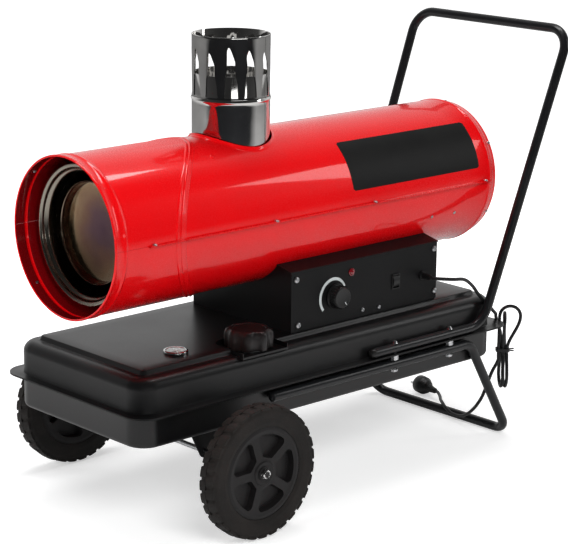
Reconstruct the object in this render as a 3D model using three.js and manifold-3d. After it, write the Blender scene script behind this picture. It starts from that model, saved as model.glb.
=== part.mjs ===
// Indirect-fired forced air heater on a wheeled fuel tank.
// Millimetres. X runs along the drum from the hot-air outlet to the handle end, -Y is the
// control panel's side, +Z is up. Places are counted from the outlet rim, the drum's middle
// plane and the floor, and the whole group is centred along X at the end.
import * as THREE from "three";
import { mergeVertices } from "three/addons/utils/BufferGeometryUtils.js";
import Module from "manifold-3d";

const wasm = await Module();
wasm.setup();

// ---------------------------------------------------------------- driving dimensions

const GAP = 0.3; // seating clearance between pieces
const SHEET = 1.5; // sheet metal
const TUBE = 9.5; // radius of the frame tube

// Heights are counted from the tank's shoulder, because all else stands on the tank.
const tankShoulder = 308;
const tankTop = tankShoulder + 9;
const drumRadius = 145.5; // outside of the main shells
const drumAxis = tankTop + 221;

const drum = {
  axisZ: drumAxis,
  radius: drumRadius,
  length: 988, // outlet rim to inlet rim
  seamStart: 74, // the seam flanges run between these two places
  seamEnd: 962,
  seamWidth: 8, // how far the seam flange stands out
  rimRadius: 141.5, // necked inlet rim
  rimLip: 137, // inner edge of the inlet rim
  beadX: 24, // swage behind the outlet rim
  beadHeight: 2,
  rearBeadX: 964,
};
// The outlet cowl ends on a curve that runs from each side seam back to the flue.
const joint = { asymptote: 348.4, depth: 63.6, slope: 1.211, overlap: 10 };

// The chimney's bead, windows and spigot keep their shares of its height over the drum.
const drumTop = drumAxis + drumRadius;
const flueTop = drumTop + 186.5;
const flueRise = flueTop - drumTop;

const flue = {
  x: 393, // axis of the chimney
  radius: 73.7, // outside of the cowl
  wall: 1.2,
  bottom: drumAxis + 82, // inside the drum, trimmed to the heat exchanger
  top: flueTop,
  beadZ: drumTop + 0.3566 * flueRise,
  beadHeight: 1.8,
  windowBottom: drumTop + 0.4209 * flueRise,
  windowHeight: 0.4611 * flueRise,
  windowStep: 0.0483 * flueRise, // every other flame is this much lower
  windowWidth: 25,
  windows: 12,
  spigotTop: drumTop + 0.6139 * flueRise,
  holeMargin: 3.2, // ring-shaped gap in the drum round the chimney
  collarHeight: 5, // turned-up edge of that hole
};

const exchanger = { front: 38, rear: 600, outer: 129, inner: 114, wall: 1.5, footWidth: 24 };
const chamber = {
  front: 63,
  rear: 575,
  radius: 95,
  wall: 1.5,
  discX: 81, // the end disc is set back behind the front ring
  discRadius: 90.7,
  dish: 8,
  burnerHole: 46,
  ductX: 540,
  ductRadius: 22,
  ducts: 3,
};
const burner = { rear: 668, flangeRadius: 60, wall: 1.5, vaneX: 560, vanes: 4 };
const nozzle = { front: 566, radius: 7, bodyRadius: 12 };
const pump = { front: 700, length: 42, radius: 30 };
const motor = { front: 752, length: 104, radius: 52, shaft: 6, bracketX: 790, footAngle: 38 };
const fan = { front: 892, depth: 40, radius: 128, hub: 26, hubDepth: 44, blades: 5, blade: 2.2 };
const guard = { x: 981, wire: 1.6, rings: 4, spokes: 2, clampRadius: 22 };

const wheel = {
  x: 219,
  radius: 125,
  width: 39,
  track: 275, // middle plane of the drum to the middle of a wheel
  rim: 86, // outside of the plastic hub, inside of the tyre
  boss: 21,
  pockets: 5,
  pocketInner: 31,
  pocketOuter: 73,
  pocketDepth: 13,
  web: 8, // half of a spoke's width
  treadBlocks: 14,
  treadDepth: 5,
};
const axle = { radius: 5, capRadius: 9, capLength: 7 };
const axleBracket = { y: 130, plate: 3, topLength: 84, topWidth: 34, eye: 13 };

const tank = {
  front: 21, // outside of the side walls
  rear: 952,
  half: 187,
  corner: 42,
  bottom: 181,
  bottomRound: 10,
  seamZ: 245, // where the two shells' flanges meet
  flangeFront: 3,
  flangeRear: 980,
  flangeHalf: 209,
  flangeCorner: 44,
  wallTop: tankShoulder - 20,
  shoulder: tankShoulder,
  shoulderRound: 20,
  ledge: 30, // inset at which the raised top starts to climb
  panelInset: 36,
  top: tankTop,
};
const fillerSeat = { front: 262, rear: 370, back: 92, corner: 26, floor: 4 };
const filler = {
  x: 316,
  y: -140,
  neck: 30,
  neckTop: tankShoulder + 23,
  neckBottom: tankShoulder - 24,
  flange: 36,
  flangeThick: 1.8,
  strainer: 100,
};
const cap = {
  radius: 46,
  lobes: 8,
  lobe: 2.6,
  bottom: tankShoulder + 3,
  top: tankShoulder + 38,
  skirt: 38,
  crown: 10,
};
const gauge = {
  x: 173,
  y: -101,
  bezel: 23,
  window: 17.5,
  rim: 5,
  rod: 2.5,
  rodBottom: 184,
  floatRadius: 14,
  floatHeight: 22,
  floatBottom: 182.9,
  pointer: 13,
};
const drain = { x: 860, y: 0, thread: 8, head: 12, headHeight: 9 };

const handle = {
  half: 199, // tube on the tank's flange
  topHalf: 212,
  front: 589,
  kneeX: 897, // where flange run and leg would meet
  slope: 0.38, // the leg leans back this much for each unit of rise
  top: 837,
  kneeRadius: 60,
  topRadius: 46,
  plugLength: 13,
};
const stand = {
  half: 198,
  footHalf: 191,
  z: 224,
  front: 322,
  kneeX: 862,
  footX: 994,
  kneeRadius: 36,
  footRadius: 34,
};
const bolt = { places: [643, 799], shank: 4, hole: 4.3, head: 7, headHeight: 5, boss: 8.5, nut: 7.5 };

const box = {
  front: 414,
  rear: 806,
  near: 149.5, // towards the control panel
  far: 134,
  top: tankTop + 118,
  lipZ: tankTop + 127, // where the sloping lips meet the drum
  lipOver: 4,
};
const panel = { bottom: tankTop + 3, thick: 1.5 };
const thermostat = {
  x: 527,
  z: tankTop + 55,
  knob: 22,
  knobBase: 24.5,
  knobLength: 20,
  ribs: 12,
  rib: 0.9,
  shaft: 3,
  body: 36,
  bodyDepth: 27,
};
const lamp = { x: 569, z: tankTop + 95, lens: 6, rim: 7.6, dome: 5, body: 6, bodyDepth: 22 };
const controlZ = tankTop + 56; // middle of the switch and of the cord's outlet
const rocker = {
  x: 691,
  z: controlZ,
  width: 21,
  height: 30,
  frame: 2,
  frameDepth: 2,
  body: 22,
  tilt: 7,
};
const gland = {
  x: 765,
  z: controlZ,
  flange: 8.5,
  flangeThick: 5,
  boot: 6.8,
  bootEnd: 5,
  length: 27,
  nut: 10,
};
const transformer = { x: 500, y: -40, length: 92, width: 62, height: 52, foot: 112 };
const board = { x: 640, y: 30, length: 120, width: 86, standOff: 8 };
const supply = { x: 724, y: 0, radius: 4, bottom: 192, hole: 5 };

const cord = { radius: 3.5, sides: 8, hankSides: 6 };
const hank = {
  x: 998, // middle of the tie
  y: -174,
  z: 179.5,
  heading: 47.2, // degrees from X: the way the folds are wide
  fold: 21.5, // radius of a fold
  waist: 4.3, // half the distance between the two rows of strands at the tie
  pitch: 4.2, // sideways step from one strand to the next
  ease: 55, // a strand leaves the waist and reaches its fold's width over this length
  run: 57, // from the tie to where a fold's half circle starts
  looseRun: 73, // the same for the one loose loop above the tie
  looseMiddle: 8.5,
  loose: 21.5,
  stub: 14, // the two ends stand this far above and below the tie
};
const tie = { height: 7, thick: 1.5, play: 0.7 };
const plug = {
  x: 1052, // where the cord enters the boot
  y: 66,
  z: 20,
  heading: 77, // degrees from X
  boot: 26,
  bootRadius: 7,
  body: 38,
  radius: 19.5,
  pin: 19,
  pinRadius: 2.4,
  pinSpacing: 9.5,
};
// The cord's free stretches, as places it passes.
const cordRun = [
  [790, -212, controlZ - 1],
  [824, -211, controlZ - 7],
  [858, -202, controlZ - 26],
  [893, -190, 319],
  [912, -187, 303],
  [927, -189, 289],
  [948, -185, 272],
  [968, -172, 262],
  [984, -159, 250],
  [991, -157, 235],
  [994.5, -163.5, 216],
];
const tailRun = [
  [977, -160, 132],
  [969, -154, 104],
  [966, -143, 73],
  [966, -117, 39],
  [973, -82, 17],
  [978, -50, 14],
  [984, -26, 20.5],
  [994, -8, 24],
  [1006, 8, 23.6],
  [1028, 31, 22],
];

// ---------------------------------------------------------------- materials

const paint = (color, roughness, metalness = 0) =>
  new THREE.MeshStandardMaterial({ color, roughness, metalness });
const redEnamel = paint(0xd8141a, 0.28);
const blackEnamel = paint(0x1b1b1c, 0.42);
const tubeBlack = paint(0x26272a, 0.38);
const polishedSteel = paint(0xd6d6d2, 0.12, 1);
const heatedSteel = paint(0x8a7568, 0.3, 1);
const zinc = paint(0xc9ccd0, 0.35, 1);
const brass = paint(0xb89248, 0.35, 1);
const castAlloy = paint(0x9a9c9f, 0.5, 1);
const rubber = paint(0x1c1b1b, 0.85);
const hubPlastic = paint(0x232225, 0.55);
const blackPlastic = paint(0x151516, 0.5);
const whitePlastic = paint(0xe9e9e4, 0.45);
const redLens = paint(0x9c1320, 0.25);
const boardGreen = paint(0x2f6b42, 0.6);
const cordBlack = paint(0x17171a, 0.55);

// ---------------------------------------------------------------- geometry helpers

// A geometry as a manifold-3d solid: only positions count, and its shared corners are merged.
function solid(geometry) {
  const bare = new THREE.BufferGeometry();
  const loose = geometry.index ? geometry.toNonIndexed() : geometry;
  bare.setAttribute("position", loose.getAttribute("position"));
  const merged = mergeVertices(bare, 1e-4);
  const corners = merged.index.array;
  const kept = [];
  for (let i = 0; i < corners.length; i += 3) {
    const [a, b, c] = [corners[i], corners[i + 1], corners[i + 2]];
    if (a !== b && b !== c && c !== a) kept.push(a, b, c);
  }
  return new wasm.Manifold(
    new wasm.Mesh({
      numProp: 3,
      vertProperties: merged.attributes.position.array,
      triVerts: new Uint32Array(kept),
    }),
  );
}

const join = (first, ...others) => others.reduce((whole, one) => whole.add(one), first);
const cut = (first, ...others) => others.reduce((whole, one) => whole.subtract(one), first);

// A solid as a three.js geometry with flat faces.
function surface(body) {
  const mesh = body.getMesh();
  const geometry = new THREE.BufferGeometry();
  geometry.setAttribute("position", new THREE.BufferAttribute(mesh.vertProperties, 3));
  geometry.setIndex(new THREE.BufferAttribute(mesh.triVerts, 1));
  return geometry;
}

const turnToX = new THREE.Matrix4().makeRotationY(Math.PI / 2);
const turnToY = new THREE.Matrix4().makeRotationX(-Math.PI / 2);
const AXIS = { x: turnToX, y: turnToY, z: new THREE.Matrix4() };

// Revolves a profile of [radius, height] pairs round the given axis.
function revolve(profile, segments, axis = "z") {
  const points = profile.map(([r, h]) => new THREE.Vector2(r, h));
  const geometry = new THREE.LatheGeometry(points, segments);
  geometry.rotateX(Math.PI / 2);
  geometry.applyMatrix4(AXIS[axis]);
  const body = solid(geometry);
  return body.volume() > 0 ? body : revolve([...profile].reverse(), segments, axis);
}

const move = (body, x, y, z) => body.translate([x, y, z]);

// A cylinder whose axis runs from `from` to `from + length` along the given axis.
function rod(radius, from, length, axis = "z", sides = 24) {
  const profile = [
    [0, from],
    [radius, from],
    [radius, from + length],
    [0, from + length],
  ];
  return revolve(profile, sides, axis);
}

function block(x0, x1, y0, y1, z0, z1) {
  const geometry = new THREE.BoxGeometry(x1 - x0, y1 - y0, z1 - z0);
  geometry.translate((x0 + x1) / 2, (y0 + y1) / 2, (z0 + z1) / 2);
  return solid(geometry);
}

const shapeFrom = (pairs) => new THREE.Shape(pairs.map(([a, b]) => new THREE.Vector2(a, b)));

// An outline in the XY plane raised from z0 to z1.
function raise(shape, z0, z1, curveSegments = 8) {
  const settings = { depth: z1 - z0, bevelEnabled: false, curveSegments };
  return solid(new THREE.ExtrudeGeometry(shape, settings).translate(0, 0, z0));
}

// An outline of (Y, Z) pairs drawn out along X.
const ALONG_X = new THREE.Matrix4().makeBasis(
  new THREE.Vector3(0, 1, 0),
  new THREE.Vector3(0, 0, 1),
  new THREE.Vector3(1, 0, 0),
);
function drawnX(shape, x0, x1, curveSegments = 12) {
  const settings = { depth: x1 - x0, bevelEnabled: false, curveSegments };
  const geometry = new THREE.ExtrudeGeometry(shape, settings).applyMatrix4(ALONG_X);
  return solid(geometry.translate(x0, 0, 0));
}

// An outline of (X, Z) pairs drawn out along Y.
const ALONG_Y = new THREE.Matrix4().makeBasis(
  new THREE.Vector3(1, 0, 0),
  new THREE.Vector3(0, 0, 1),
  new THREE.Vector3(0, -1, 0),
);
function drawnY(shape, y0, y1, curveSegments = 8) {
  const settings = { depth: y1 - y0, bevelEnabled: false, curveSegments };
  const geometry = new THREE.ExtrudeGeometry(shape, settings).applyMatrix4(ALONG_Y);
  return solid(geometry.translate(0, y1, 0));
}

// Corner points of a rectangle with round corners, from x0 to x1 and -half to half.
function roundedRectangle(x0, x1, half, radius, steps = 4) {
  const centres = [
    [x1 - radius, half - radius],
    [x0 + radius, half - radius],
    [x0 + radius, -half + radius],
    [x1 - radius, -half + radius],
  ];
  return centres.flatMap(([cx, cy], quarter) =>
    Array.from({ length: steps + 1 }, (_, i) => {
      const angle = ((quarter + i / steps) * Math.PI) / 2;
      return [cx + radius * Math.cos(angle), cy + radius * Math.sin(angle)];
    }),
  );
}

// Skins a stack of rings of equally many [x, y, z] points, and closes its two ends.
function skin(rings) {
  const count = rings[0].length;
  const positions = rings.flat(2);
  const faces = [];
  for (let k = 0; k + 1 < rings.length; k++) {
    for (let i = 0; i < count; i++) {
      const j = (i + 1) % count;
      const [a, b, c, d] = [k * count + i, k * count + j, (k + 1) * count + j, (k + 1) * count + i];
      faces.push(a, b, c, a, c, d);
    }
  }
  const last = (rings.length - 1) * count;
  for (let i = 1; i + 1 < count; i++) {
    faces.push(0, i + 1, i, last, last + i, last + i + 1);
  }
  const geometry = new THREE.BufferGeometry();
  geometry.setAttribute("position", new THREE.Float32BufferAttribute(positions, 3));
  geometry.setIndex(faces);
  return solid(geometry);
}

// A route through given points: each point gets one section, square to its neighbours.
class Route extends THREE.Curve {
  constructor(points) {
    super();
    this.points = points;
  }
  index(u) {
    return Math.round(u * (this.points.length - 1));
  }
  getPointAt(u, target = new THREE.Vector3()) {
    return target.copy(this.points[this.index(u)]);
  }
  getTangentAt(u, target = new THREE.Vector3()) {
    const i = this.index(u);
    const before = this.points[Math.max(i - 1, 0)];
    const after = this.points[Math.min(i + 1, this.points.length - 1)];
    return target.subVectors(after, before).normalize();
  }
}

function tube(points, radius, sides) {
  const ring = Array.from({ length: sides }, (_, i) => {
    const angle = (i * 2 * Math.PI) / sides;
    return [radius * Math.cos(angle), radius * Math.sin(angle)];
  });
  const settings = { steps: points.length - 1, extrudePath: new Route(points), bevelEnabled: false };
  return solid(new THREE.ExtrudeGeometry(shapeFrom(ring), settings));
}

// A run of straight tube with a round bend at each inner corner.
function bentRun(corners, radii, bendSteps = 5) {
  const points = [corners[0]];
  for (let i = 1; i + 1 < corners.length; i++) {
    const back = new THREE.Vector3().subVectors(corners[i - 1], corners[i]).normalize();
    const on = new THREE.Vector3().subVectors(corners[i + 1], corners[i]).normalize();
    const half = back.angleTo(on) / 2;
    const radius = radii[i - 1];
    const toTangent = radius / Math.tan(half);
    const middle = back.clone().add(on).normalize();
    const centre = corners[i].clone().addScaledVector(middle, radius / Math.sin(half));
    const from = corners[i].clone().addScaledVector(back, toTangent).sub(centre);
    const to = corners[i].clone().addScaledVector(on, toTangent).sub(centre);
    const turn = from.angleTo(to);
    const axis = from.clone().cross(to).normalize();
    for (let k = 0; k <= bendSteps; k++) {
      points.push(from.clone().applyAxisAngle(axis, (turn * k) / bendSteps).add(centre));
    }
  }
  points.push(corners[corners.length - 1]);
  return points;
}

const V = (x, y, z) => new THREE.Vector3(x, y, z);

// ---------------------------------------------------------------- the model

const heater = new THREE.Group();
function add(name, body, material) {
  const mesh = new THREE.Mesh(surface(body), material);
  mesh.name = name;
  heater.add(mesh);
}

// ---- drum shells and outlet cowl

const drumHalf = (low, high) => block(-60, drum.length + 60, -400, 400, low, high);
const drumBottomHalf = drumHalf(drum.axisZ - 400, drum.axisZ - GAP / 2);
const drumTopHalf = drumHalf(drum.axisZ + GAP / 2, drum.axisZ + 400);

const jointX = (y) => joint.asymptote - Math.hypot(joint.depth, joint.slope * y);

// Everything in front of the joint curve, moved along X by `shift`.
function aheadOfJoint(shift) {
  const reach = drum.radius + 30;
  const steps = 28;
  const curve = Array.from({ length: steps + 1 }, (_, i) => {
    const y = -reach + (2 * reach * i) / steps;
    return [jointX(y) + shift, y];
  });
  const outline = shapeFrom([[-80, -reach], ...curve, [-80, reach]]);
  return raise(outline, drum.axisZ - reach, drum.axisZ + reach);
}

const DRUM_SIDES = 36;
const INNER_SIDES = 20;
const FLUE_SIDES = 30;
const WHEEL_SIDES = 24;
const EXCHANGER_SIDES = 24;
const cowlInner = drum.radius + GAP;

// A swage of the given height and half-width at x, as points on a radius.
const swage = (x, radius, height, half = 5) => [
  [radius, x - half],
  [radius + height * 0.8, x - half / 2],
  [radius + height, x],
  [radius + height * 0.8, x + half / 2],
  [radius, x + half],
];

function cowlTube() {
  const outer = cowlInner + SHEET;
  const rimRoll = 2.2;
  const profile = [
    [cowlInner, 0],
    [outer + rimRoll * 0.6, 0],
    [outer + rimRoll, rimRoll],
    [outer + rimRoll * 0.6, rimRoll * 2],
    [outer, rimRoll * 3],
    ...swage(drum.beadX, outer, drum.beadHeight),
    [outer, joint.asymptote],
    [cowlInner, joint.asymptote],
    [cowlInner, 0],
  ];
  return move(revolve(profile, DRUM_SIDES, "x"), 0, 0, drum.axisZ);
}

function mainTube() {
  const inner = drum.radius - SHEET;
  const neck = drum.length - 12;
  const profile = [
    [inner, joint.overlap],
    [drum.radius, joint.overlap],
    ...swage(drum.rearBeadX, drum.radius, drum.beadHeight),
    [drum.rimRadius + 1, neck + 2],
    [drum.rimRadius, drum.length - 1.5],
    [drum.rimRadius - 1.5, drum.length],
    [drum.rimLip, drum.length],
    [drum.rimLip, drum.length - SHEET],
    [drum.rimRadius - SHEET - 0.5, drum.length - SHEET],
    [drum.rimRadius - SHEET, neck + 2],
    [inner, drum.rearBeadX + 5],
    [inner, joint.overlap],
  ];
  return move(revolve(profile, DRUM_SIDES, "x"), 0, 0, drum.axisZ);
}

// The two flanges along the side seams, above or below the axis.
function seamFlanges(radius, x0, x1, side) {
  const z0 = drum.axisZ + (side * GAP) / 2;
  const z1 = z0 + side * SHEET;
  const [low, high] = [Math.min(z0, z1), Math.max(z0, z1)];
  const outerEdge = drum.radius + drum.seamWidth;
  return join(
    block(x0, x1, -outerEdge, -radius + SHEET / 2, low, high),
    block(x0, x1, radius - SHEET / 2, outerEdge, low, high),
  );
}

const cowlZone = aheadOfJoint(0);
const mainStart = aheadOfJoint(-joint.overlap);
const cowlFlangeInner = cowlInner + SHEET / 2;
const cowlFlanges = (side) => seamFlanges(cowlFlangeInner, drum.seamStart, 200, side);
const upperCowl = join(cowlTube().intersect(drumTopHalf), cowlFlanges(1));
const lowerCowl = join(cowlTube().intersect(drumBottomHalf), cowlFlanges(-1));
add("outlet_cowl_upper", upperCowl.intersect(cowlZone), redEnamel);
add("outlet_cowl_lower", lowerCowl.intersect(cowlZone), redEnamel);

// The main shells pass under the cowl, so their own seam flanges start behind it.
const behindCowl = (side) => cut(seamFlanges(drum.radius, 100, drum.seamEnd, side), aheadOfJoint(GAP));
const flueHole = move(rod(flue.radius + flue.holeMargin, flue.bottom - 20, 200, "z", 24), flue.x, 0, 0);
const collarTop = drum.axisZ + drum.radius + flue.collarHeight;
const collarBase = flue.bottom + 20;
const drumRound = (radius) => move(rod(radius, 0, drum.length, "x", DRUM_SIDES), 0, 0, drum.axisZ);
const flueCollar = cut(
  move(
    rod(flue.radius + flue.holeMargin + SHEET, collarBase, collarTop - collarBase, "z", 24),
    flue.x,
    0,
    0,
  ).intersect(drumRound(drum.radius + flue.collarHeight)),
  drumRound(drum.radius - SHEET / 2),
);
const supplyHole = move(rod(supply.hole, 160, 400, "z", 16), supply.x, supply.y, 0);
const upperMain = cut(mainTube().intersect(drumTopHalf), mainStart);
const lowerMain = cut(mainTube().intersect(drumBottomHalf), mainStart, supplyHole);
add("drum_upper_shell", cut(join(upperMain, behindCowl(1), flueCollar), flueHole), redEnamel);
add("drum_lower_shell", join(lowerMain, behindCowl(-1)), redEnamel);

// ---- chimney and flue

// One flame-shaped window: [offset from its middle, height], both as shares of its size.
const flameOutline = [
  [-0.36, 0],
  [-0.5, 0.22],
  [-0.24, 0.5],
  [-0.26, 0.74],
  [0.02, 1],
  [0.04, 0.64],
  [0.44, 0.36],
  [0.38, 0],
];

function flameWindow(index) {
  const height = flue.windowHeight - (index % 2) * flue.windowStep;
  const outline = flameOutline.map(([a, b]) => [a * flue.windowWidth, b * height]);
  const deep = 14;
  const settings = { depth: deep, bevelEnabled: false };
  const geometry = new THREE.ExtrudeGeometry(shapeFrom(outline), settings);
  geometry.rotateX(Math.PI / 2);
  geometry.translate(0, -flue.radius + deep / 2, flue.windowBottom);
  geometry.rotateZ(((index + 0.5) * 2 * Math.PI) / flue.windows);
  return solid(geometry.translate(flue.x, 0, 0));
}

const exchangerRound = (clearance) =>
  move(rod(exchanger.outer + clearance, 200, 400, "x", EXCHANGER_SIDES), 0, 0, drum.axisZ);

function chimneyCowl() {
  const inner = flue.radius - flue.wall;
  const profile = [
    [inner, flue.bottom],
    [flue.radius, flue.bottom],
    [flue.radius, flue.beadZ - 4],
    [flue.radius + flue.beadHeight, flue.beadZ],
    [flue.radius, flue.beadZ + 4],
    [flue.radius, flue.top],
    [inner, flue.top],
    [inner, flue.bottom],
  ];
  const shell = move(revolve(profile, FLUE_SIDES), flue.x, 0, 0);
  const windows = Array.from({ length: flue.windows }, (_, i) => flameWindow(i));
  return cut(shell, exchangerRound(GAP), ...windows);
}
add("chimney_cowl", chimneyCowl(), polishedSteel);

function flueSpigot() {
  const outer = flue.radius - flue.wall - GAP;
  const inner = outer - flue.wall;
  const profile = [
    [inner, flue.bottom],
    [outer, flue.bottom],
    [outer, flue.spigotTop],
    [inner, flue.spigotTop],
    [inner, flue.bottom],
  ];
  return cut(move(revolve(profile, FLUE_SIDES), flue.x, 0, 0), exchangerRound(GAP));
}
add("flue_spigot", flueSpigot(), polishedSteel);

// ---- heat exchanger: a hollow ring that the burnt gas fills, with air inside and outside it

function heatExchanger() {
  const { front, rear, outer, inner, wall } = exchanger;
  const nose = 12;
  const jacket = revolve(
    [
      [inner, front + nose + 4],
      [inner + 3, front + nose - 2],
      [outer - 5, front + 1],
      [outer - 1, front],
      [outer, front + 3],
      [outer, rear],
      [inner, rear],
      [inner, front + nose + 4],
    ],
    EXCHANGER_SIDES,
    "x",
  );
  const hollow = revolve(
    [
      [inner + wall, front + nose + 10],
      [outer - wall, front + nose + 10],
      [outer - wall, rear - wall],
      [inner + wall, rear - wall],
      [inner + wall, front + nose + 10],
    ],
    EXCHANGER_SIDES,
    "x",
  );
  const flueBore = move(rod(flue.radius - 4 * flue.wall, 60, 120, "z", 16), flue.x, 0, 0);
  const throughInner = rod(inner + wall / 2, front, rear, "x", EXCHANGER_SIDES);
  const gasHoles = Array.from({ length: chamber.ducts }, (_, i) => {
    const duct = move(rod(chamber.ductRadius - chamber.wall, 60, inner - 56, "z", 10), 0, 0, 0);
    return duct.rotate([45 + i * 120, 0, 0]).translate([chamber.ductX, 0, 0]);
  });
  const feet = [-1, 1].flatMap((side) =>
    [front + 60, rear - 60].map((x) => {
      const reach = drum.radius - SHEET - GAP;
      const foot = block(x, x + exchanger.footWidth, -10, 10, -reach, -outer + 4);
      const trim = rod(reach, x - 5, exchanger.footWidth + 10, "x", DRUM_SIDES);
      return foot.rotate([side * 36, 0, 0]).intersect(trim);
    }),
  );
  return cut(join(jacket, ...feet), hollow, flueBore.subtract(throughInner), ...gasHoles);
}
add("heat_exchanger", move(heatExchanger(), 0, 0, drum.axisZ), heatedSteel);

function combustionChamber() {
  const { front, rear, radius, wall, discX, discRadius, dish, burnerHole } = chamber;
  const profile = [
    [0, discX + dish],
    [discRadius * 0.5, discX + dish * 0.75],
    [discRadius - 6, discX + 2],
    [discRadius, discX],
    [discRadius + 1, front + 2],
    [radius - 1, front],
    [radius, front + 2],
    [radius, front + 14],
    [radius - 1.5, front + 17],
    [radius, front + 20],
    [radius, rear],
    [burnerHole + GAP, rear],
    [burnerHole + GAP, rear - wall],
    [radius - wall, rear - wall],
    [radius - wall, discX + dish + 6],
    [discRadius * 0.5, discX + dish * 0.75 + wall],
    [0, discX + dish + wall],
  ];
  const shell = revolve(profile, INNER_SIDES, "x");
  const ducts = Array.from({ length: chamber.ducts }, (_, i) => {
    const outer = rod(chamber.ductRadius, radius - 6, exchanger.inner - GAP - radius + 6, "z", 10);
    return outer.rotate([45 + i * 120, 0, 0]).translate([chamber.ductX, 0, 0]);
  });
  const bores = Array.from({ length: chamber.ducts }, (_, i) => {
    const inner = rod(chamber.ductRadius - wall, radius - 20, 60, "z", 8);
    return inner.rotate([45 + i * 120, 0, 0]).translate([chamber.ductX, 0, 0]);
  });
  const reach = rod(exchanger.inner - 1, front, rear, "x", EXCHANGER_SIDES);
  const inside = rod(radius - wall, discX + dish + 20, rear - wall - discX - dish - 20, "x", INNER_SIDES);
  return cut(join(shell, ...ducts.map((duct) => duct.subtract(inside).intersect(reach))), ...bores);
}
add("combustion_chamber", move(combustionChamber(), 0, 0, drum.axisZ), heatedSteel);

// ---- burner

function burnerTube() {
  const { rear, flangeRadius, wall } = burner;
  const outer = chamber.burnerHole;
  const seat = chamber.rear + GAP;
  const profile = [
    [outer - wall - 6, burner.vaneX - 24],
    [outer - wall - 4, burner.vaneX - 24],
    [outer, burner.vaneX - 12],
    [outer, seat],
    [flangeRadius, seat],
    [flangeRadius, seat + wall],
    [outer, seat + wall],
    [outer, rear],
    [outer - wall, rear],
    [outer - wall, burner.vaneX - 12],
    [outer - wall - 6, burner.vaneX - 24],
  ];
  return revolve(profile, INNER_SIDES, "x");
}
add("burner_tube", move(burnerTube(), 0, 0, drum.axisZ), heatedSteel);

// The swirl plate: a disc with slanted slots that spins the burner's air.
function swirlPlate() {
  const radius = chamber.burnerHole - burner.wall - GAP;
  const disc = revolve(
    [
      [nozzle.bodyRadius + GAP, burner.vaneX],
      [radius, burner.vaneX],
      [radius, burner.vaneX + 8],
      [radius - 1.5, burner.vaneX + 8],
      [radius - 1.5, burner.vaneX + 2],
      [nozzle.bodyRadius + GAP, burner.vaneX + 2],
      [nozzle.bodyRadius + GAP, burner.vaneX],
    ],
    INNER_SIDES,
    "x",
  );
  const slots = Array.from({ length: burner.vanes }, (_, i) =>
    block(burner.vaneX - 2, burner.vaneX + 4, -2.2, 2.2, 18, radius - 5)
      .rotate([(i * 360) / burner.vanes, 0, 0]),
  );
  return cut(disc, ...slots);
}
add("swirl_plate", move(swirlPlate(), 0, 0, drum.axisZ), heatedSteel);

function burnerNozzle() {
  const { front, radius, bodyRadius } = nozzle;
  return revolve(
    [
      [0, front - 12],
      [radius * 0.5, front - 12],
      [radius, front - 6],
      [bodyRadius, front - 2],
      [bodyRadius, front + 16],
      [radius + 1, front + 18],
      [radius + 1, pump.front - GAP],
      [0, pump.front - GAP],
    ],
    12,
    "x",
  );
}
add("burner_nozzle", move(burnerNozzle(), 0, 0, drum.axisZ), brass);

// ---- pump, motor and fan

function fuelPump() {
  const { front, length, radius } = pump;
  const body = revolve(
    [
      [0, front],
      [radius * 0.6, front],
      [radius * 0.6, front + 8],
      [radius, front + 8],
      [radius, front + length - 6],
      [radius * 0.75, front + length],
      [motor.shaft + GAP, front + length],
      [motor.shaft + GAP, front + length - 14],
      [0, front + length - 14],
    ],
    12,
    "x",
  );
  const port = move(rod(8, -radius - 8, 14, "z", 12), supply.x, 0, 0);
  return cut(join(body, port), move(rod(supply.radius + GAP, -radius - 10, 8, "z", 12), supply.x, supply.y, 0));
}
add("fuel_pump", move(fuelPump(), 0, 0, drum.axisZ), castAlloy);

function motorBody() {
  const { front, length, radius, shaft } = motor;
  const rear = front + length;
  const bore = shaft + GAP;
  const shell = revolve(
    [
      [bore, front],
      [radius * 0.45, front],
      [radius * 0.5, front + 7],
      [radius - 4, front + 12],
      [radius, front + 20],
      [radius, rear - 20],
      [radius - 4, rear - 12],
      [radius * 0.5, rear - 7],
      [radius * 0.4, rear],
      [bore, rear],
      [bore, front],
    ],
    20,
    "x",
  );
  const ribs = Array.from({ length: 4 }, (_, i) =>
    block(front + 24, rear - 24, -1.5, 1.5, radius - 2, radius + 4).rotate([i * 90 + 45, 0, 0]),
  );
  return join(shell, ...ribs);
}
add("fan_motor", move(motorBody(), 0, 0, drum.axisZ), castAlloy);

// The motor hangs in a ring with four arms that stand on the lower shell and on the drum's sides.
function motorBracket() {
  const { bracketX, radius, footAngle } = motor;
  const thick = 4;
  const width = 18;
  const inner = radius + 4 + GAP;
  const reach = drum.radius - SHEET - GAP;
  const ring = revolve(
    [
      [inner, bracketX],
      [inner + 6, bracketX],
      [inner + 6, bracketX + width],
      [inner, bracketX + width],
      [inner, bracketX],
    ],
    16,
    "x",
  );
  const arm = (angle) => {
    const stem = block(bracketX, bracketX + width, -thick / 2, thick / 2, -reach, -inner - 3);
    const foot = block(bracketX, bracketX + width, -14, 14, -reach - 1, -reach + thick);
    return join(stem, foot).rotate([angle, 0, 0]);
  };
  const bound = rod(reach, bracketX - 5, width + 10, "x", DRUM_SIDES);
  const arms = [-footAngle, footAngle, -100, 100].map((angle) => arm(angle).intersect(bound));
  return join(ring, ...arms);
}
add("motor_bracket", move(motorBracket(), 0, 0, drum.axisZ), zinc);

function motorShaft() {
  const start = pump.front + pump.length - 14 + GAP;
  const end = fan.front + fan.hubDepth - 4;
  return rod(motor.shaft, start, end - start, "x", 16);
}
add("motor_shaft", move(motorShaft(), 0, 0, drum.axisZ), zinc);

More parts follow.
